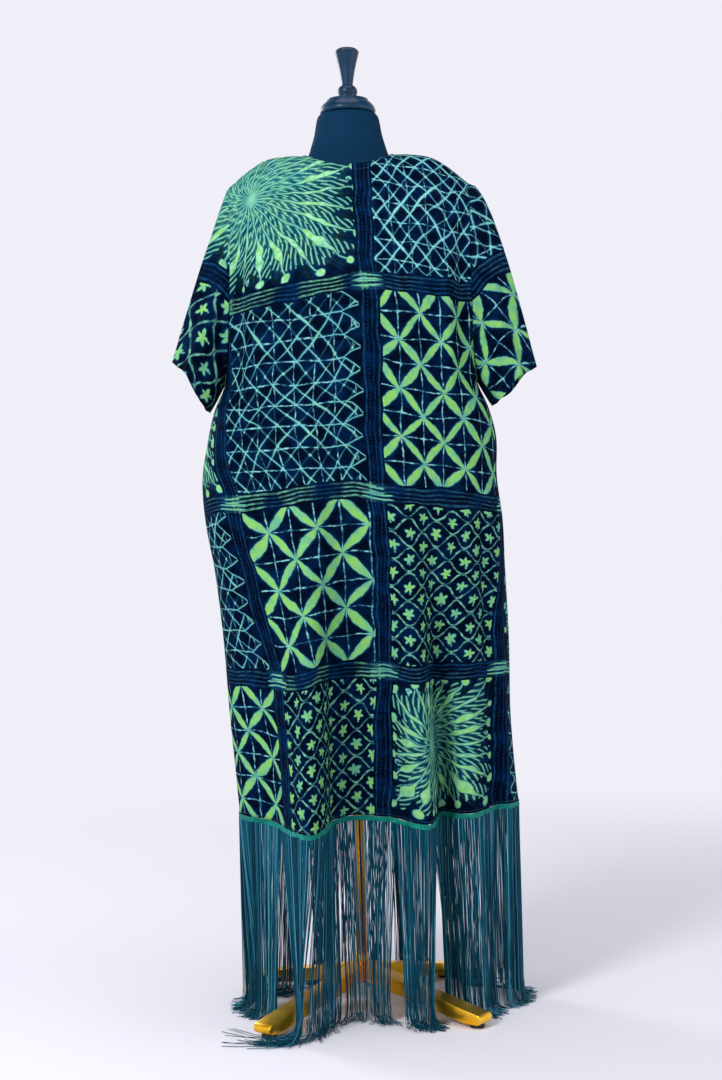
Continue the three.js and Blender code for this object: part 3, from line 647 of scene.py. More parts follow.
def lying(low_xy, run, reach, curl, pile):
    """The rest of a yarn, round its bend and along the floor at the height of its pile."""
    path = []
    for s, z in ((0.06, 14.0), (0.16, pile + 3.0), (0.38, pile), (0.7, pile * 0.8), (1.0, pile * 0.6 + 0.4)):
        xy = low_xy + run * BEND * min(s * 4, 1) + reach * s + curl * s * (1 - s) * 2
        path.append((*xy, z))
    return path


def yarn_paths(hem, locks, partings, seed):
    """Loose yarns: each hangs from the tape, gathers in uneven clumps and ends along the floor."""
    rng = random.Random(seed)
    clump_shift = [rng.uniform(-0.5, 0.5) for _ in range(CLUMPS + 1)]
    clump_pull = [rng.uniform(0.2, 0.9) for _ in range(CLUMPS + 1)]
    paths = []
    for i in range(YARNS):
        # where it hangs from, unless it is one of those missing at a parting
        share_length = (i + rng.uniform(0.1, 0.9)) / YARNS
        own_place = (float(hem.at_length(np.array(share_length))) + 1) / 2
        missing = sum(sparse * math.exp(-((own_place - at) / spread) ** 2)
                      for at, spread, _, sparse in partings)
        if rng.random() < missing:
            continue
        # where it comes down, drawn in by its clump, the locks and the partings, and past the legs
        clump = min(int(share_length * CLUMPS), CLUMPS)
        centre = (clump + 0.5 + 0.4 * clump_shift[clump]) / CLUMPS
        low_length = mix(share_length, centre, clump_pull[clump] * rng.uniform(0.5, 1.0))
        root = hem.point(hem.at_length(np.array(share_length)), 0.6 + rng.uniform(-0.7, 0.5))
        root[2] -= ROOT_DROP
        share = (float(hem.at_length(np.array(low_length))) + 1) / 2
        off = (share - locks["at"]) / locks["spread"]
        weight = bell(off)

        def lock(column, by=1.0):
            return float(np.sum(locks[column] * by * weight))

        drawn = share - lock("pull", off)
        for at, spread, push, _ in partings:
            drawn += math.copysign(push * math.exp(-((share - at) / spread) ** 2), share - at)
        low = hem.point(np.array(2 * np.clip(drawn, 0, 1) - 1))
        outward = low[:2] / np.linalg.norm(low[:2])
        gathered = float(np.max(weight))
        low_xy = low[:2] + outward * (lock("out") + rng.uniform(-4, 4))
        low_xy = np.array(part_around_legs(*low_xy))
        # how it lies on the floor, and the waver of its way down
        tail = (9 + lock("tail")) * rng.uniform(0.3, 1.7)
        sweep = lock("sweep") * rng.uniform(0.25, 1.15)
        pile = rng.uniform(0.9, 2.0) + (rng.random() ** 2) * (3 + 7 * gathered)
        phase, waver = rng.uniform(0, 6.3), rng.uniform(0.3, 1.4)
        side = np.array([-outward[1], outward[0]])
        turn = math.radians(rng.gauss(0, 26))
        run = outward * math.cos(turn) + side * math.sin(turn)
        reach = run * tail + np.array([sweep, abs(sweep) * rng.choice((0.1, 0.35, 0.9))])
        reach = within_limits(low_xy + run * BEND, reach)
        curl = side * rng.uniform(-0.25, 0.25) * np.linalg.norm(reach) + outward * abs(sweep) * 0.2
        path = hanging(root, low_xy, side * waver, phase) + lying(low_xy, run, reach, curl, pile)
        paths.append({"path": path, "shade": rng.random(), "thick": rng.uniform(0.4, 0.62)})
    return paths


# ---- yarns and stitches, grown by Geometry Nodes

STITCH_PITCH = 0.0034


def geometry_tree(name, **numbers):
    """A Geometry Nodes tree and its two ends, with an input and its default for each number."""
    tree = bpy.data.node_groups.new(name, "GeometryNodeTree")
    socket = tree.interface.new_socket
    socket("Geometry", in_out="INPUT", socket_type="NodeSocketGeometry")
    for label, value in numbers.items():
        socket(label, in_out="INPUT", socket_type="NodeSocketFloat").default_value = value
    socket("Geometry", in_out="OUTPUT", socket_type="NodeSocketGeometry")
    return tree, tree.nodes.new("NodeGroupInput"), tree.nodes.new("NodeGroupOutput")


def finish_tree(tree, geometry, material, end):
    """The last steps of a tree: real geometry, and its material."""
    real = add_node(tree, "GeometryNodeRealizeInstances", {"Geometry": geometry})
    finish = add_node(tree, "GeometryNodeSetMaterial",
                      {"Geometry": real.outputs["Geometry"], "Material": material})
    feed(tree, end.inputs["Geometry"], finish.outputs["Geometry"])
    return tree


def tube_tree(name, material, sides):
    """Geometry Nodes: round yarns along the edges of a mesh, as thick as its own attribute says."""
    tree, start, end = geometry_tree(name, Thickness=1.0)
    own = add_node(tree, "GeometryNodeInputNamedAttribute", {"Name": "thick"}, data_type="FLOAT")
    thick = Num(tree, own.outputs["Attribute"]) * Num(tree, start.outputs["Thickness"])
    curve = add_node(tree, "GeometryNodeMeshToCurve", {"Mesh": start.outputs["Geometry"]})
    radius = add_node(tree, "GeometryNodeSetCurveRadius", {"Curve": curve.outputs["Curve"], "Radius": thick})
    circle = add_node(tree, "GeometryNodeCurvePrimitiveCircle", {"Resolution": sides, "Radius": 1.0})
    tube = add_node(tree, "GeometryNodeCurveToMesh", {
        "Curve": radius.outputs["Curve"], "Profile Curve": circle.outputs["Curve"],
        "Scale": thick, "Fill Caps": True})
    return finish_tree(tree, tube.outputs["Mesh"], material, end)


def stitch_tree(name, material):
    """Geometry Nodes: rounded stitches, even along every line of a mesh."""
    tree, start, end = geometry_tree(name, Pitch=STITCH_PITCH, Length=0.0026, Thread=0.0004)
    thread, half = start.outputs["Thread"], Num(tree, start.outputs["Length"]) * 0.5
    curve = add_node(tree, "GeometryNodeMeshToCurve", {"Mesh": start.outputs["Geometry"]})
    even = add_node(tree, "GeometryNodeCurveToPoints",
                    {"Curve": curve.outputs["Curve"], "Length": start.outputs["Pitch"]}, mode="LENGTH")
    stitch = add_node(tree, "GeometryNodeMeshUVSphere", {"Segments": 6, "Rings": 4, "Radius": 1.0})
    size = add_node(tree, "ShaderNodeCombineXYZ", {"X": thread, "Y": thread, "Z": half})
    place = add_node(tree, "GeometryNodeInstanceOnPoints", {
        "Points": even.outputs["Points"], "Instance": stitch.outputs["Mesh"],
        "Rotation": even.outputs["Rotation"], "Scale": size.outputs["Vector"]})
    return finish_tree(tree, place.outputs["Instances"], material, end)


def grown(guide, tree, settings):
    """The plain mesh that a Geometry Nodes tree makes of a guide, which is then deleted."""
    modifier = guide.modifiers.new("grow", "NODES")
    modifier.node_group = tree
    sockets = {s.name: s.identifier for s in tree.interface.items_tree if s.in_out == "INPUT"}
    for key, value in settings.items():
        modifier[sockets[key]] = value
    name, mesh = guide.name, applied(guide)
    bpy.data.objects.remove(guide)
    mesh.name = name
    return placed(name, mesh)


def guide_lines(name, lines):
    """A mesh of open lines, each given by its points."""
    points, edges = [], []
    for line in lines:
        first = len(points)
        points.extend(line)
        edges.extend((first + k, first + k + 1) for k in range(len(line) - 1))
    return mesh_object(name, points, [], edges=edges)


def yarns(name, paths, material):
    guide = guide_lines(name, [yarn["path"] for yarn in paths])
    counts = [len(yarn["path"]) for yarn in paths]
    for key, unit in (("shade", 1.0), ("thick", MM)):
        values = np.repeat([yarn[key] * unit for yarn in paths], counts).astype(np.float32)
        guide.data.attributes.new(key, "FLOAT", "POINT").data.foreach_set("value", values)
    return grown(guide, tube_tree(name + "_tree", material, YARN_SIDES), {"Thickness": 1.0})


def stitching(name, lines, material):
    tree = stitch_tree(name + "_tree", material)
    return grown(guide_lines(name, lines), tree, {"Pitch": STITCH_PITCH})


# ---- dress form and stand

FORM_RINGS = table(("z", "half", "front", "back"), [
    (745, 148, 90, 100), (758, 157, 97, 107), (860, 176, 108, 116), (950, 150, 97, 96),
    (1040, 122, 85, 76), (1120, 134, 97, 82), (1170, 147, 117, 88), (1212, 155, 129, 92),
    (1260, 162, 112, 95), (1310, 174, 91, 94), (1352, 184, 75, 83), (1379, 185, 63, 69),
    (1401, 167, 52, 56), (1416, 135, 45, 47), (1423.5, 103, 42, 44), (1430, 81, 41, 42),
    (1442, 69.5, 42, 42), (1458, 63.5, 45, 45), (1479, 57.5, 46, 46), (1499, 54, 46, 46),
    (1509, 51, 45, 45), (1514, 46, 41, 41),
])
CAP_PROFILE = [(46.5, 1514.6), (47.5, 1519), (45, 1526), (39, 1532.5), (36, 1534.5), (35, 1538)]
FINIAL_PROFILE = [(15.2, 1538.6), (15.6, 1545), (17, 1553), (14.5, 1559), (10, 1563), (9.8, 1567),
                  (13.5, 1590), (20, 1617), (20, 1620), (16, 1624.5), (8, 1627)]
POLE_PROFILE = [(9.5, 89.3), (9.5, 744.6)]
COLLAR_PROFILE = [(10.4, 70.3), (11.6, 71.5), (11.6, 86), (10.6, 89)]


def oval(a, half, depth, z, centre=(0, 0)):
    """Points round an oval, at the angles a."""
    return np.stack([centre[0] + half * np.cos(a), centre[1] + depth * np.sin(a), np.full(len(a), z)], -1)


def turns(count):
    return np.linspace(0, 2 * math.pi, count, endpoint=False)


def lofted(name, rings):
    """A closed skin over rings of equal length, with a fan at each end."""
    around, top = len(rings[0]), (len(rings) - 1) * len(rings[0])
    points = [*np.concatenate(rings), np.mean(rings[0], axis=0), np.mean(rings[-1], axis=0)]
    low, high = len(points) - 2, len(points) - 1
    faces = []
    for start in range(0, top, around):
        for i in range(around):
            k = (i + 1) % around
            faces.append((start + i, start + k, start + around + k, start + around + i))
    for i in range(around):
        k = (i + 1) % around
        faces.append((low, k, i))
        faces.append((high, top + i, top + k))
    return mesh_object(name, points, faces)


def form_body():
    """Jersey torso: rings with a front and a back depth, closed by a small cap at each end."""
    levels = np.concatenate([np.linspace(745, 1400, 90), np.linspace(1402, 1514, 60)])
    a = turns(96)
    rings = []
    for z in levels:
        half, front, back = (float(read(FORM_RINGS, "z", c, z)) for c in ("half", "front", "back"))
        rings.append(oval(a, half, np.where(np.sin(a) < 0, front, back), z))
    return lofted("form_torso", rings)


def turned(name, profile, steps=6):
    """A turned piece: a smooth profile through its points, spun about the pole's axis."""
    p = np.array(profile, float)
    fine = []
    for k in range(len(p) - 1):
        before, after = p[max(k - 1, 0)], p[min(k + 2, len(p) - 1)]
        for s in range(steps):
            fine.append(cubic(p[k], p[k + 1], (p[k + 1] - before) / 2, (after - p[k]) / 2, s / steps))
    fine.append(p[-1])
    return lofted(name, [oval(turns(72), r, r, z) for r, z in fine])


def leg_outline():
    """Side view of a leg: distance from the pole's axis and height."""
    end, tip, lift = LEG["reach"], LEG["tip"], LEG["lift"]
    points = [(LEG["start"], HUB["foot"]), (end - LEG["level"], lift)]
    for k in range(17):
        a = math.radians(mix(-90, LEG["brow"], k / 16))
        points.append((end - tip + tip * math.cos(a), lift + tip + tip * math.sin(a)))
    points.append((LEG["start"], HUB["top"]))
    return points


def prism(name, outline, width, angle, bevel):
    """A bevelled box section: an outline in the plane of the pole, given a width."""
    points = []
    for side in (-width / 2, width / 2):
        for r, z in outline:
            points.append((r * math.cos(angle) - side * math.sin(angle),
                           r * math.sin(angle) + side * math.cos(angle), z))
    n = len(outline)
    faces = [tuple(range(n)), tuple(range(2 * n - 1, n - 1, -1))]
    faces += [(k, n + k, n + (k + 1) % n, (k + 1) % n) for k in range(n)]
    obj = mesh_object(name, points, faces)
    edge = obj.modifiers.new("bevel", "BEVEL")
    edge.width, edge.segments, edge.limit_method = bevel * MM, 3, "ANGLE"
    edge.angle_limit = math.radians(35)
    obj.data = applied(obj)
    obj.modifiers.clear()
    return obj


def foot_pad(name, angle):
    """A glide under a leg's end, with a soft edge."""
    centre = (PAD["from_pole"] * math.cos(angle), PAD["from_pole"] * math.sin(angle))
    return lofted(name, [oval(turns(40), r, r, z, centre) for r, z in PAD["profile"]])


# ---- node arithmetic

def feed(tree, place, value):
    """Gives a socket its value: a Num, another socket, a colour of three numbers or a plain value."""
    if isinstance(value, Num):
        value = value.socket
    if isinstance(value, bpy.types.NodeSocket):
        tree.links.new(value, place)
    else:
        place.default_value = (*value, 1.0) if isinstance(value, tuple) else value


def feed_all(tree, node, values):
    for key, value in values.items():
        feed(tree, node.inputs[key], value)


def add_node(tree, kind, values=None, **settings):
    """A node of a kind with its settings, and what its inputs are fed, by name or number."""
    node = tree.nodes.new(kind)
    for key, value in settings.items():
        setattr(node, key, value)
    feed_all(tree, node, values or {})
    return node


def maths(kind):
    """A method that does one kind of arithmetic."""
    return lambda number, *others: number.op(kind, *others)


class Num:
    """A number in a node tree. Arithmetic on it adds the nodes that work it out."""

    __add__ = __radd__ = maths("ADD")
    __mul__ = __rmul__ = maths("MULTIPLY")
    __sub__, __truediv__ = maths("SUBTRACT"), maths("DIVIDE")
    abs, floor, fract = maths("ABSOLUTE"), maths("FLOOR"), maths("FRACT")
    sin, cos, power, root = maths("SINE"), maths("COSINE"), maths("POWER"), maths("SQRT")
    min, max = maths("MINIMUM"), maths("MAXIMUM")
    over, under, atan2 = maths("GREATER_THAN"), maths("LESS_THAN"), maths("ARCTAN2")

    def __init__(self, tree, socket):
        self.tree, self.socket = tree, socket

    def op(self, kind, *others):
        values = dict(enumerate((self, *others)))
        return Num(self.tree, add_node(self.tree, "ShaderNodeMath", values, operation=kind).outputs[0])

    def __rsub__(self, other):
        return self.op("MULTIPLY_ADD", -1.0, other)

    def near(self, whole):
        """1 where this is a given whole number, and 0 elsewhere."""
        return self.op("COMPARE", whole, 0.4)

    def chance(self, seed=0.0):
        """A number from 0 to 1 that looks random, for a whole number."""
        return ((self * 12.9898 + seed).sin() * 43758.5453).fract()

    def ramp(self, low, high):
        """0 at low, 1 at high and soft in between; low may be the greater."""
        values = {"Value": self, "From Min": low, "From Max": high}
        node = add_node(self.tree, "ShaderNodeMapRange", values, interpolation_type="SMOOTHSTEP")
        return Num(self.tree, node.outputs["Result"])


def hypot(a, b):
    return (a * a + b * b).root()


def noise(tree, place, scale, detail=2.0, rough=0.5):
    """Noise of a scale: the node, whose Fac and Color are read."""
    values = {"Vector": place, "Scale": scale, "Detail": detail, "Roughness": rough}
    return add_node(tree, "ShaderNodeTexNoise", values)


def specks(*settings):
    """Noise as one number."""
    return Num(settings[0], noise(*settings).outputs["Fac"])


def blend(tree, share, first, second):
    """A colour between two, each a socket or three numbers."""
    values = {0: share, 6: first, 7: second}
    return add_node(tree, "ShaderNodeMix", values, data_type="RGBA", clamp_factor=True).outputs[2]


def linear(red, green, blue):
    """Linear colour of a display colour of 0 to 255."""
    return tuple(c / 12.92 if c <= 0.04045 else ((c + 0.055) / 1.055) ** 2.4
                 for c in (red / 255, green / 255, blue / 255))


def new_material(name):
    """A material, its tree and its shader."""
    material = bpy.data.materials.new(name)
    material.use_nodes = True
    return material, material.node_tree, material.node_tree.nodes["Principled BSDF"]


def raised(tree, shader, height, strength, distance):
    """Fine relief of a finish."""
    values = {"Height": height, "Strength": strength, "Distance": distance}
    feed(tree, shader.inputs["Normal"], add_node(tree, "ShaderNodeBump", values).outputs[0])


def cloth_place(tree):
    """The cloth's own coordinates: the socket, and the numbers across and up."""
    place = add_node(tree, "ShaderNodeUVMap", uv_map="cloth").outputs[0]
    parts = add_node(tree, "ShaderNodeSeparateXYZ", {0: place})
    return place, Num(tree, parts.outputs[0]), Num(tree, parts.outputs[1])


def object_place(tree):
    return tree.nodes.new("ShaderNodeTexCoord").outputs["Object"]


def motif(tree, draw, values):
    """What a motif gives for its named values, of which u and v are its places across and up its panel, in
    centimetres: how far each place is from the broad leaves and from the thin lines, and for the sunburst
    how much dye bleeds into the ground. It is drawn in a node group of its own."""
    group = bpy.data.node_groups.new(draw.__name__, "ShaderNodeTree")
    for label in values:
        group.interface.new_socket(label, in_out="INPUT", socket_type="NodeSocketFloat")
    results = ("leaf", "line", "haze")
    for label in results:
        group.interface.new_socket(label, in_out="OUTPUT", socket_type="NodeSocketFloat")
    start, end = group.nodes.new("NodeGroupInput"), group.nodes.new("NodeGroupOutput")
    drawn = draw(*(Num(group, start.outputs[label]) for label in values))
    feed_all(group, end, dict(zip(results, drawn)))
    node = add_node(tree, "ShaderNodeGroup", values, node_tree=group)
    return [Num(tree, socket) for socket in node.outputs]


# ---- adire motifs

RIBS = 23.0
TOOTH_RISE, TOOTH_DEPTH = 3.6, 2.8  # teeth of the lattice, in centimetres
RIB_TURN = 2 * math.pi / RIBS
CROWD, CROWD_AIM = 0.3, 0.17  # how much closer the ribs stand at the right, and how far below level


def sunburst(u, v, left, right, down, up):
    """Ribs of long leaves round a centre, each ending in a drop before the edge of the panel, with
    combed lines in between. The four distances are those from the centre to the panel's edges."""
    r = hypot(u, v)
    bearing = v.atan2(u)
    turn = (bearing + (bearing + CROWD_AIM).sin() * CROWD) / RIB_TURN
    cell = (turn + 0.5).floor()
    off = turn - cell
    angle = cell * RIB_TURN
    angle = angle - (angle - CROWD * 0.8 * (angle + CROWD_AIM).sin() + CROWD_AIM).sin() * CROWD
    c, s = angle.cos(), angle.sin()
    spread = ((angle + CROWD_AIM).cos() * CROWD + 1.0).power(-1.0) * RIB_TURN
    luck = (cell - (cell / RIBS + 0.5).floor() * RIBS).chance()
    other = (luck * 7.0).fract()
    beside = (right * c.over(0.0) + left * (1.0 - c.over(0.0))) / c.abs().max(0.05)
    above = (up * s.over(0.0) + down * (1.0 - s.over(0.0))) / s.abs().max(0.05)
    long = beside.min(above).min(luck * 3.0 + 22.5)
    t = r / long
    level = off * r * spread
    d = level + (r * 0.8 + luck * 9.0).sin() * (t * 0.16) + (r * 2.1 + luck * 20.0).sin() * (t * 0.1)
    swell = (t - other * 0.2 - 0.28).ramp(0.0, 0.2) * (t - 0.84).ramp(0.0, -0.16)
    width = swell * (other * other * 0.75 + 0.1) * (1.0 + (r * 1.9 + luck * 5.0).sin() * 0.3) + 0.12
    rib = (d.abs() - width).max(r - long * 0.95)
    drop = hypot(d * 0.9, r - long * 0.95) - (luck * 0.26 + 0.5)
    leaf = rib.min(drop)
    far = (off - 0.4) * r * spread
    ring = (hypot(far, r - long * 0.9) - 0.36).abs() - 0.12 + (other.over(0.35)) * 0.6
    reach = r - long * (0.93 - ((0.5 - off) * 5.0).floor() * 0.035)
    comb = ((r * 0.48 + level * 0.86) * 1.25 + luck * 0.5).fract() - 0.5
    comb = (comb.abs() * 0.8 - 0.19 + t * 0.05).max(reach).max(0.1 - rib)
    streaks = (off * 31.0 + luck * 9.0 + (r * 0.7).sin()).sin() * 0.3 + 0.75
    haze = t.ramp(1.05, 0.2) * streaks * (other * 0.4 + 0.6) * (s.ramp(-0.5, 0.3) * 0.4 + 0.6)
    return leaf.min(comb + 0.03), ring, haze


def off_grid(place, pitch):
    """How far a place is from the middle of its step of a grid."""
    return ((place / pitch).fract() - 0.5).abs() * pitch


def lattice(u, v):
    """Two families of slanting lines, level and upright lines, dots where they meet, and teeth down the
    right edge."""
    pitch_a, pitch_b, pitch_up, edge = 2.35, 2.2, 3.1, 11.6
    a = u * 0.77 + v * 0.62 + (v * 0.31).sin() * 0.5
    b = u * -0.74 + v * 0.64 + (u * 0.4).sin() * 0.4
    row_a, row_b = (a / pitch_a).floor(), (b / pitch_b).floor()
    da, db = off_grid(a, pitch_a), off_grid(b, pitch_b)
    faint_a = (b * 0.5 + row_a * 2.4).sin() * 0.06
    faint_b = (a * 0.45 + row_b * 1.7).sin() * 0.07
    bold_a = row_a.chance(1.0).over(0.8) * (b * 0.3 + row_a).sin().over(0.2) * 0.08
    bold_b = row_b.chance(2.0).over(0.8) * (a * 0.3 + row_b).sin().over(0.2) * 0.08
    dots = hypot(da, db) - 0.24
    level = off_grid(v + u * 0.1, TOOTH_RISE)
    upright = ((u / pitch_up + 0.2).fract() - 0.5).abs() * pitch_up - 0.03
    tooth = (((v + u * 0.1) / TOOTH_RISE + 0.5).fract() - 0.5).abs() * 2.0 * TOOTH_DEPTH
    inside = (u - edge + tooth).max(-11.8 - u + (v * 1.9).sin() * 0.3)
    teeth = ((u - edge + tooth).abs() * 0.74 - 0.13).max(v.sin().abs() * 0.05 - 0.13)
    star = hypot(level, da.min(db)) - 0.2
    thin = (level - 0.07).min(upright).max(inside * 0.7)
    leaf = (da - 0.07 - bold_a + faint_a).min(db - 0.06 - bold_b + faint_b).min(dots).min(star)
    bars = (level - 0.1).max(6.2 - u).max(inside)
    leaf = leaf.max(inside * 0.7).min(teeth).min(bars)
    return leaf + 0.02, thin


def leaf_lattice(u, v):
    """Leaves along a diamond grid, over thin level and upright lines with dots where they meet."""
    wide, tall = 7.45, 8.1
    u, v = u + 1.05, v - 6.4
    a = u / wide + v / tall
    b = u / wide - v / tall

    def leaves(along, beside):
        cell = (beside + 0.5).floor()
        t = along.fract() * 2.0 - 1.0
        whim = (along.floor() * 3.0 + cell).chance(4.0)
        w = (1.0 - t.abs().power(2.1)).max(0.0) * (whim * 0.2 + 0.46) + 0.05
        w = w * (1.0 + (along * 23.0 + whim * 40.0).sin() * 0.05)
        d = (beside - cell + (whim - 0.5) * 0.03).abs() * 5.48
        return d - w, d, t

    one, d1, t1 = leaves(a, b)
    two, _, _ = leaves(b, a)
    leaf = one.min(two)
    cracks = (t1 * 9.0 + d1 * 2.0).sin().abs().ramp(0.14, 0.0) * one.ramp(0.05, -0.05)
    level = (off_grid(v, tall / 2) - tall / 4).abs()
    upright = (off_grid(u, wide / 2) - wide / 4).abs()
    dots = hypot(level, upright) - 0.2
    return leaf + cracks * 0.2, (level - 0.06).min(upright - 0.055).min(dots)


def ogee(u, v, tall):
    """Wavy lines that part and meet in pairs, and a small flower in each cell between them."""
    wide, high = 5.5, tall * 0.5
    strip = (v / high).floor()
    odd = (strip * 0.5).fract() * 2.0
    sign = 1.0 - odd * 2.0
    place = (v / high).fract() * high
    turn = u * (2 * math.pi / wide)
    swing = turn.cos() * sign * 0.98
    slope = (turn.sin() * turn.sin() * 1.2 + 1.0).root()
    line = (place - swing).abs().min((high - swing - place).abs()) / slope - 0.11
    cell = (u / wide + odd * 0.5).floor() * 3.0 + strip
    luck = cell.chance(2.0)
    p = ((u / wide + odd * 0.5).fract() - 0.5) * wide + (luck - 0.5) * 0.5
    q = place - high * 0.5 + (cell.chance(8.0) - 0.5) * 0.3
    bearing = q.atan2(p)
    petals = (bearing * 5.0 + luck * 6.0).sin() * 0.25 + (bearing * 2.0 + luck * 9.0).sin() * 0.12
    flower = hypot(p, q) - (petals + 0.62 + luck * 0.16)
    stem = (p + (q * 1.6).sin() * 0.14).abs().max(q).max(-1.35 - q) - 0.08
    return flower.min(stem), line


DRIFT, SHAKE, ELSEWHERE = 1.5, 0.2, 9.0  # how far the hand strays, and how far off a motif is elsewhere


def adire():
    """Indigo cotton with the whole resist-dyed layout: motif panels, dividing bands and their crossings."""
    material, tree, shader = new_material("adire_cotton")
    cloth, u0, v0 = cloth_place(tree)

    def channels(node):
        parts = add_node(tree, "ShaderNodeSeparateColor", {0: node.outputs["Color"]})
        return [Num(tree, part) for part in parts.outputs]

    drift, shake = channels(noise(tree, cloth, 0.16, 1.0)), channels(noise(tree, cloth, 1.3, 1.0))
    u, v = (at + (drift[k] - 0.5) * DRIFT + (shake[k] - 0.5) * SHAKE for k, at in enumerate((u0, v0)))
    press = drift[2]

    # panels of four kinds, which move on by one from column to column and from row to row
    column = (u + COLUMN_EDGE) / PANEL_WIDTH
    local = column.fract() * PANEL_WIDTH - PANEL_WIDTH / 2
    below = [v.under(at) for at in CROSS_BANDS]
    row = below[0] + below[1] + below[2]
    kind = ((column.floor() + row + 9.0) / 4.0).fract() * 4.0
    upper, middle, lower = 1.0 - below[0], below[1] - below[2], below[2]
    is_wave, is_burst, is_lattice = kind.near(0.0).max(kind.near(4.0)), kind.near(1.0), kind.near(2.0)

    # each motif in its panel: the centre of the sunburst and how far that is from the panel's edges, and
    # the leaves, which are smaller or shifted in the lower rows
    burst = {"u": local + upper * 7.1 + lower * 3.8,
             "v": v - 139.2 + below[0] * 35.2 + below[1] * 31.5 + below[2] * 26.5,
             "left": 11.8 + upper * 5.0 - lower * 3.8, "right": 11.8 + upper * 8.0 + lower * 3.8,
             "down": 15.2 + upper * 1.2 - lower * 3.6, "up": 15.2 - lower * 4.6}
    leaves = {"u": local * (1.0 - middle * 0.2) + middle * 1.16 + lower * 1.6,
              "v": v * (1.0 - middle * 0.1) + middle * 1.7 - lower * 1.8 - (below[0] - below[1])}
    bursts = motif(tree, sunburst, burst)
    drawn = [(is_wave, motif(tree, ogee, {"u": local, "v": v, "tall": 4.45})),
             (is_burst, bursts),
             (is_lattice, motif(tree, lattice, {"u": local, "v": v})),
             (kind.near(3.0), motif(tree, leaf_lattice, leaves))]

    def nearest(part):
        """The least distance of all motifs, each of which is far off outside its own panels."""
        return reduce(Num.min, [shape[part] + (1.0 - chosen) * ELSEWHERE for chosen, shape in drawn])

    leaf, line, haze = nearest(0), nearest(1), bursts[2] * is_burst
    leaf = leaf - upper * is_lattice * 0.05  # the top row's lattice is a little bolder

    # dividing bands: a clear strip with drawn lines, and broad strokes where two bands cross
    s = u - ((u - MIDDLE_BAND) / PANEL_WIDTH + 0.5).floor() * PANEL_WIDTH - MIDDLE_BAND
    t = reduce(Num.min, [(v - at).abs() for at in CROSS_BANDS])
    upright_line = (s + 1.0).abs().min((s - 1.1).abs()).min((s - 0.35).abs() + 0.1) - 0.13
    beads = hypot(s + 0.35, ((v / 0.62).fract() - 0.5) * 0.62) - 0.07
    level_line = (t - 1.05).abs().min((t - 0.35).abs() + 0.03) - 0.12
    in_upright, in_level = s.abs().ramp(*BAND_EDGE), t.ramp(*BAND_EDGE)
    in_upright = in_upright * (1.0 - upper * u.under(-10.0))  # the leftmost one starts below the top row
    strokes = ((t * 1.45 + 0.25).fract() - 0.5).abs() * 0.68 - 0.12
    strokes = strokes.max(s.abs() - 1.9 + (v * 9.0).sin() * 0.7).max(t - 1.35)
    clear = in_upright.max(in_level)
    leaf = (leaf + clear * 3.0).min(strokes)
    line = line + clear * 3.0
    bands = (upright_line.min(beads) + (1.0 - in_upright) * 3.0).min(level_line + (1.0 - in_level) * 3.0)
    haze = haze * (1.0 - clear) * (1.0 - lower * 0.6)

    # the dye: mottled ground, blue that creeps in from each line, teal rim and lime heart of the strokes
    grain = specks(tree, cloth, 7.0, 4.0, 0.7)
    patch = specks(tree, cloth, 0.3, 3.0, 0.6)
    fade = specks(tree, cloth, 0.9, 2.0, 0.6)
    stain = specks(tree, cloth, 0.42, 3.0, 0.65)
    leaf = leaf + (grain - 0.5) * 0.16
    line = line + (fade - 0.48) * 0.3 + (grain - 0.5) * 0.1
    ground = blend(tree, patch.ramp(0.4, 0.7), linear(0, 7, 26), linear(0, 26, 60))
    ground = blend(tree, grain.ramp(0.5, 0.95) * 0.3, ground, linear(8, 50, 84))
    bleed = leaf.ramp(0.45, 0.0).max(line.ramp(0.3, 0.0) * 0.6)
    ground = blend(tree, bleed * (patch * 0.7 + 0.05), ground, linear(5, 54, 88))
    wash = blend(tree, stain.ramp(0.42, 0.58), linear(24, 112, 124), linear(78, 162, 146))
    ground = blend(tree, haze * grain.ramp(0.2, 0.6), ground, wash)
    left_half = ((u - MIDDLE_BAND) / (2.0 * PANEL_WIDTH)).fract().over(0.5)
    bright = in_level * (left_half * 0.75 + 0.1) * press.ramp(0.42, 0.56)
    strip = bands.ramp(0.12, -0.08) * (fade.ramp(0.62, 0.4) * 0.5 + 0.3)
    ground = blend(tree, strip, ground, blend(tree, bright, linear(16, 62, 100), linear(108, 184, 148)))
    cool = is_lattice * (1.0 - clear) * (upper * 0.3 + 0.4 + stain.ramp(0.6, 0.4) * 0.3)
    thin = line.ramp(0.07, -0.05) * (fade.ramp(0.75, 0.36) * 0.5 + 0.5)
    pale = blend(tree, fade.ramp(0.6, 0.35), linear(62, 128, 152), linear(126, 196, 196))
    greener = blend(tree, fade.ramp(0.6, 0.35), linear(60, 116, 122), linear(108, 174, 142))
    pale = blend(tree, is_wave, pale, greener)
    colour = blend(tree, thin, ground, pale)
    rim = leaf.ramp(0.07, -0.05)
    heart = leaf.ramp(0.0, -0.2) * (press.ramp(0.25, 0.5) * 0.4 + 0.6)
    teal = blend(tree, stain.ramp(0.4, 0.6), linear(76, 152, 146), linear(106, 178, 150))
    colour = blend(tree, rim * 0.96, colour, blend(tree, cool, teal, linear(82, 154, 172)))
    lime = blend(tree, stain.ramp(0.36, 0.56), linear(106, 176, 126), linear(128, 190, 96))
    milky = is_burst * fade.ramp(0.62, 0.4) * (0.4 + upper * 0.4)
    lime = blend(tree, milky, lime, linear(150, 216, 180))
    colour = blend(tree, heart, colour, blend(tree, cool, lime, linear(132, 204, 200)))
    worn = grain.ramp(0.56, 0.78) * rim * stain.ramp(0.6, 0.4)
    colour = blend(tree, worn * 0.5, colour, linear(30, 100, 108))
    feed_all(tree, shader, {"Base Color": colour, "Roughness": 0.8, "Specular IOR Level": 0.02})

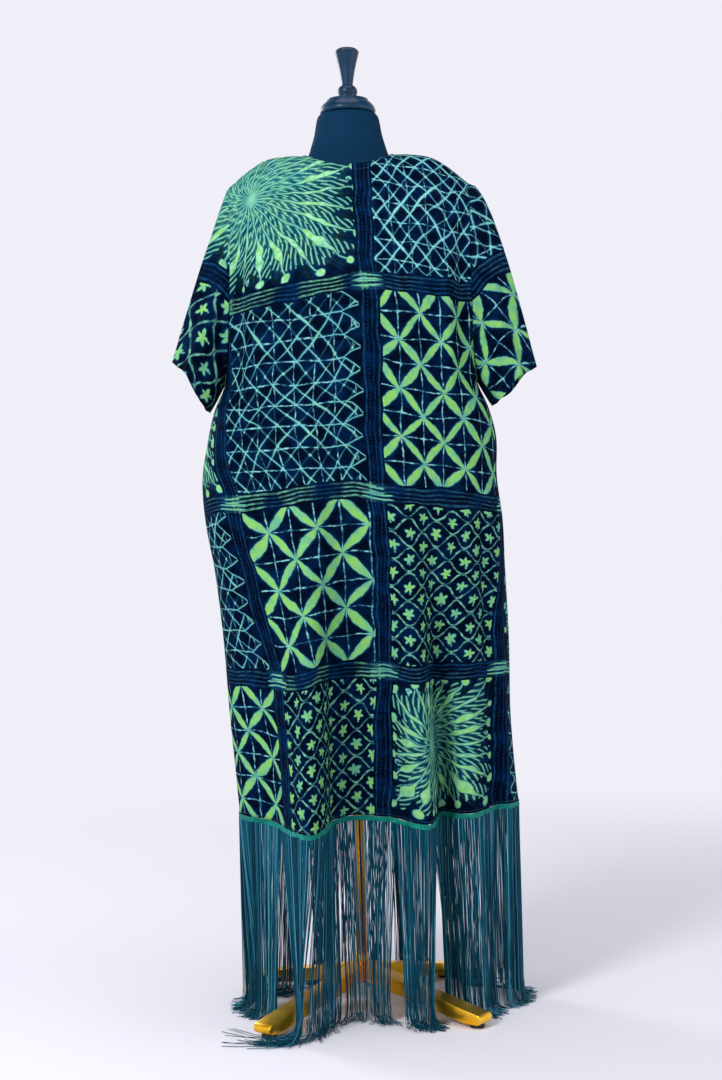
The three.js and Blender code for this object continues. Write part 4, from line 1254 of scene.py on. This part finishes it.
    # plain weave, and the small cockles of starched cotton
    weave = (u0 * 62.0).sin() * (v0 * 62.0).sin()
    raised(tree, shader, weave * 0.05 + specks(tree, cloth, 0.55, 3.0, 0.55) * 1.6, 0.5, 0.0016)
    return material


# ---- the other finishes

UNEVEN = 0.04  # how much the gloss varies


def surface(name, base, deep, scale, rough, metal=0.0, bump=0.0, coat=0.0, shine=0.5):
    """A finish whose colour, gloss and surface vary a little from place to place."""
    material, tree, shader = new_material(name)
    spots = specks(tree, object_place(tree), scale, 3.0)
    feed_all(tree, shader, {
        "Base Color": blend(tree, spots.ramp(0.3, 0.7), base, deep),
        "Roughness": spots * UNEVEN * 2.0 + (rough - UNEVEN),
        "Metallic": metal, "Specular IOR Level": shine, "Coat Weight": coat, "Coat Roughness": 0.05})
    if bump:
        raised(tree, shader, spots, 0.6, bump)
    return material


def fringe_yarn():
    """Silky rayon: each yarn has its own shade between dark and mid petrol, and the palest yarns carry a
    painted highlight in light aqua.
    """
    material, tree, shader = new_material("fringe_yarn")
    shade = Num(tree, add_node(tree, "ShaderNodeAttribute", attribute_name="shade").outputs["Fac"])
    spots = specks(tree, object_place(tree), 60.0, 2.0)
    colour = blend(tree, shade.ramp(0.1, 0.75), linear(0, 44, 64), linear(2, 84, 106))
    # painted highlight: yarns whose shade is above 0.8 turn light aqua, standing in for the glint of silk
    colour = blend(tree, shade.ramp(0.8, 1.0), colour, linear(84, 168, 192))
    colour = blend(tree, spots.ramp(0.5, 0.8) * 0.5, colour, linear(6, 96, 124))
    feed_all(tree, shader, {"Base Color": colour, "Roughness": 0.45, "Specular IOR Level": 0.1})
    return material


def header_ribbon():
    """Emerald ribbed ribbon."""
    material, tree, shader = new_material("header_ribbon")
    ribs = (cloth_place(tree)[1] * 40.0).sin() * 0.5 + 0.5
    spots = specks(tree, object_place(tree), 90.0, 3.0)
    colour = blend(tree, ribs * 0.5, linear(0, 108, 98), linear(6, 146, 128))
    colour = blend(tree, spots.ramp(0.4, 0.75) * 0.6, colour, linear(16, 168, 148))
    feed_all(tree, shader, {"Base Color": colour, "Roughness": 0.6, "Specular IOR Level": 0.2})
    raised(tree, shader, ribs, 0.7, 0.0008)
    return material


# ---- the whole object

cotton = adire()
yarn = fringe_yarn()
ribbon = header_ribbon()
thread = surface("stitch_thread", linear(10, 52, 76), linear(30, 92, 112), 300.0, 0.6)
jersey = surface("form_jersey", linear(0, 38, 64), linear(2, 50, 80), 900.0, 0.85, bump=0.0005, shine=0.1)
lacquer = surface("lacquer", linear(0, 38, 62), linear(2, 50, 80), 30.0, 0.3, coat=0.08, shine=0.25)
gold = surface("gold_metal", linear(252, 186, 30), linear(255, 204, 70), 26.0, 0.34, metal=1.0)
rubber = surface("foot_pad", linear(14, 18, 20), linear(26, 30, 32), 120.0, 0.7, bump=0.0004)

BACK_SHIFT = 2 * PANEL_WIDTH  # the back is cut two panels further on
PROUD = 0.25  # how far a stitch lies above the cloth

cloths, seams = {}, {}
for side_name, panel, shift in (("front", FRONT, 0.0), ("back", BACK, BACK_SHIFT)):
    made, grid, normals = body_panel(side_name + "_cloth", panel, shift)
    cloths[side_name] = finished(made, "adire_cotton", cotton, side_name + "_panel")
    proud = grid + normals * PROUD
    at_neck = np.abs(across(np.linspace(-1, 1, COLUMNS), TOP)) < NECK_HALF - 3
    lines = [proud[-NECK_ROWS][at_neck], proud[1][2:-2]]
    seams[side_name] = stitching(side_name + "_stitches", lines, thread)
    finished(seams[side_name], "adire_cotton", thread)
for sleeve_name, sleeve_cut in SLEEVES.items():
    made, grid, normals = sleeve(sleeve_name + "_cloth", sleeve_cut)
    cloths[sleeve_name] = finished(made, "adire_cotton", cotton, sleeve_name)
    proud = grid + normals * PROUD
    seams[sleeve_name] = stitching(sleeve_name + "_stitches", [proud[-1 - CUFF_ROWS]], thread)
    finished(seams[sleeve_name], "adire_cotton", thread)

for side_name, panel, locks, seed in (("front", FRONT, FRONT_LOCKS, 11), ("back", BACK, BACK_LOCKS, 23)):
    hem = HemLine(panel)
    tape = header_tape(side_name + "_header_tape", panel, hem)
    paths = yarn_paths(hem, locks, PARTINGS[side_name], seed)
    loose = yarns(side_name + "_fringe_yarns", paths, yarn)
    finished(tape, "fringe_yarn", ribbon, "fringe_" + side_name)
    finished(loose, "fringe_yarn", yarn, "fringe_" + side_name)
    side_name + "_cloth"

finished(form_body(), "form_jersey", jersey, "form_body")
finished(turned("cap", CAP_PROFILE), "lacquer", lacquer, "neck_cap")
finished(turned("knob", FINIAL_PROFILE), "lacquer", lacquer, "finial")
finished(turned("post", POLE_PROFILE, 1), "gold_metal", gold, "pole")
finished(turned("collar", COLLAR_PROFILE, 1), "gold_metal", gold, "pole_collar")
square = [(-HUB["half"], HUB["foot"]), (HUB["half"], HUB["foot"]),
          (HUB["half"], HUB["top"]), (-HUB["half"], HUB["top"])]
finished(prism("socket_block", square, 2 * HUB["half"], leg_angles()[0], 0.8), "gold_metal", gold, "hub")
for number, angle in enumerate(leg_angles(), 1):
    finished(prism(f"stand_leg_{number}", leg_outline(), LEG["width"], angle, 1.6),
             "gold_metal", gold, f"leg_{number}")
    finished(foot_pad(f"glide_{number}", angle), "foot_pad", rubber, f"foot_{number}")


# ---- room, light and camera

PAPER = linear(240, 239, 248)
FLOOR_RADIUS = 14.0
GLOW = (0.8, 2.8)  # the floor melts into the backdrop's light between these distances


def studio_floor():
    """A wide pale floor, lit like paper near the stand and as bright as the backdrop far away."""
    rim = oval(turns(96), FLOOR_RADIUS / MM, FLOOR_RADIUS / MM, 0.0)
    faces = [(0, 1 + k, 1 + (k + 1) % len(rim)) for k in range(len(rim))]
    floor = mesh_object("studio_floor", [(0, 0, 0), *rim], faces)
    material, tree, shader = new_material("studio_paper")
    feed_all(tree, shader, {"Base Color": PAPER, "Roughness": 0.95, "Specular IOR Level": 0.1})
    glow = add_node(tree, "ShaderNodeEmission", {"Color": PAPER})
    away = add_node(tree, "ShaderNodeVectorMath", {0: object_place(tree)}, operation="LENGTH")
    share = Num(tree, away.outputs["Value"]).ramp(*GLOW)
    both = add_node(tree, "ShaderNodeMixShader", {0: share, 1: shader.outputs[0], 2: glow.outputs[0]})
    feed(tree, tree.nodes["Material Output"].inputs["Surface"], both.outputs[0])
    floor.data.materials.append(material)
    return floor


def backdrop():
    """Even pale light all round, up to a little over the horizon, and a dim ceiling."""
    world = bpy.data.worlds.new("studio")
    world.use_nodes = True
    tree = world.node_tree
    aim = tree.nodes.new("ShaderNodeTexCoord").outputs["Generated"]
    height = Num(tree, add_node(tree, "ShaderNodeSeparateXYZ", {0: aim}).outputs["Z"])
    light = height.ramp(0.78, 0.32) * 0.85 + 0.15
    feed_all(tree, tree.nodes["Background"], {"Color": PAPER, "Strength": light})
    return world


def lamp(name, place, aim, size, power):
    data = bpy.data.lights.new(name, "AREA")
    data.shape, data.size, data.energy = "DISK", size, power
    obj = placed(name, data)
    obj.location = place
    obj.rotation_euler = (Vector(aim) - Vector(place)).to_track_quat("-Z", "Y").to_euler()
    obj.visible_camera = False


studio_floor()
lamp("key", (-1.9, -2.9, 2.6), (0, 0, 0.95), 1.2, 92)
lamp("overhead", (0, -0.6, 5.0), (0, -0.4, 0), 4.0, 75)
lamp("right_fill", (3.0, -1.5, 1.7), (0, 0, 0.8), 1.8, 12)
lamp("rear_left", (-2.4, 2.6, 2.3), (0, 0, 0.9), 1.4, 40)

scene = bpy.context.scene
scene.world = backdrop()
scene.view_settings.view_transform = "Standard"

lens = bpy.data.cameras.new("camera")
lens.lens, lens.sensor_width, lens.sensor_fit = 58.8, 36.0, "AUTO"
scene.camera = placed("camera", lens)
scene.camera.rotation_euler = (math.radians(90), math.radians(0.95), 0)
scene.camera.location = (0.0105, -3.0, 0.79)
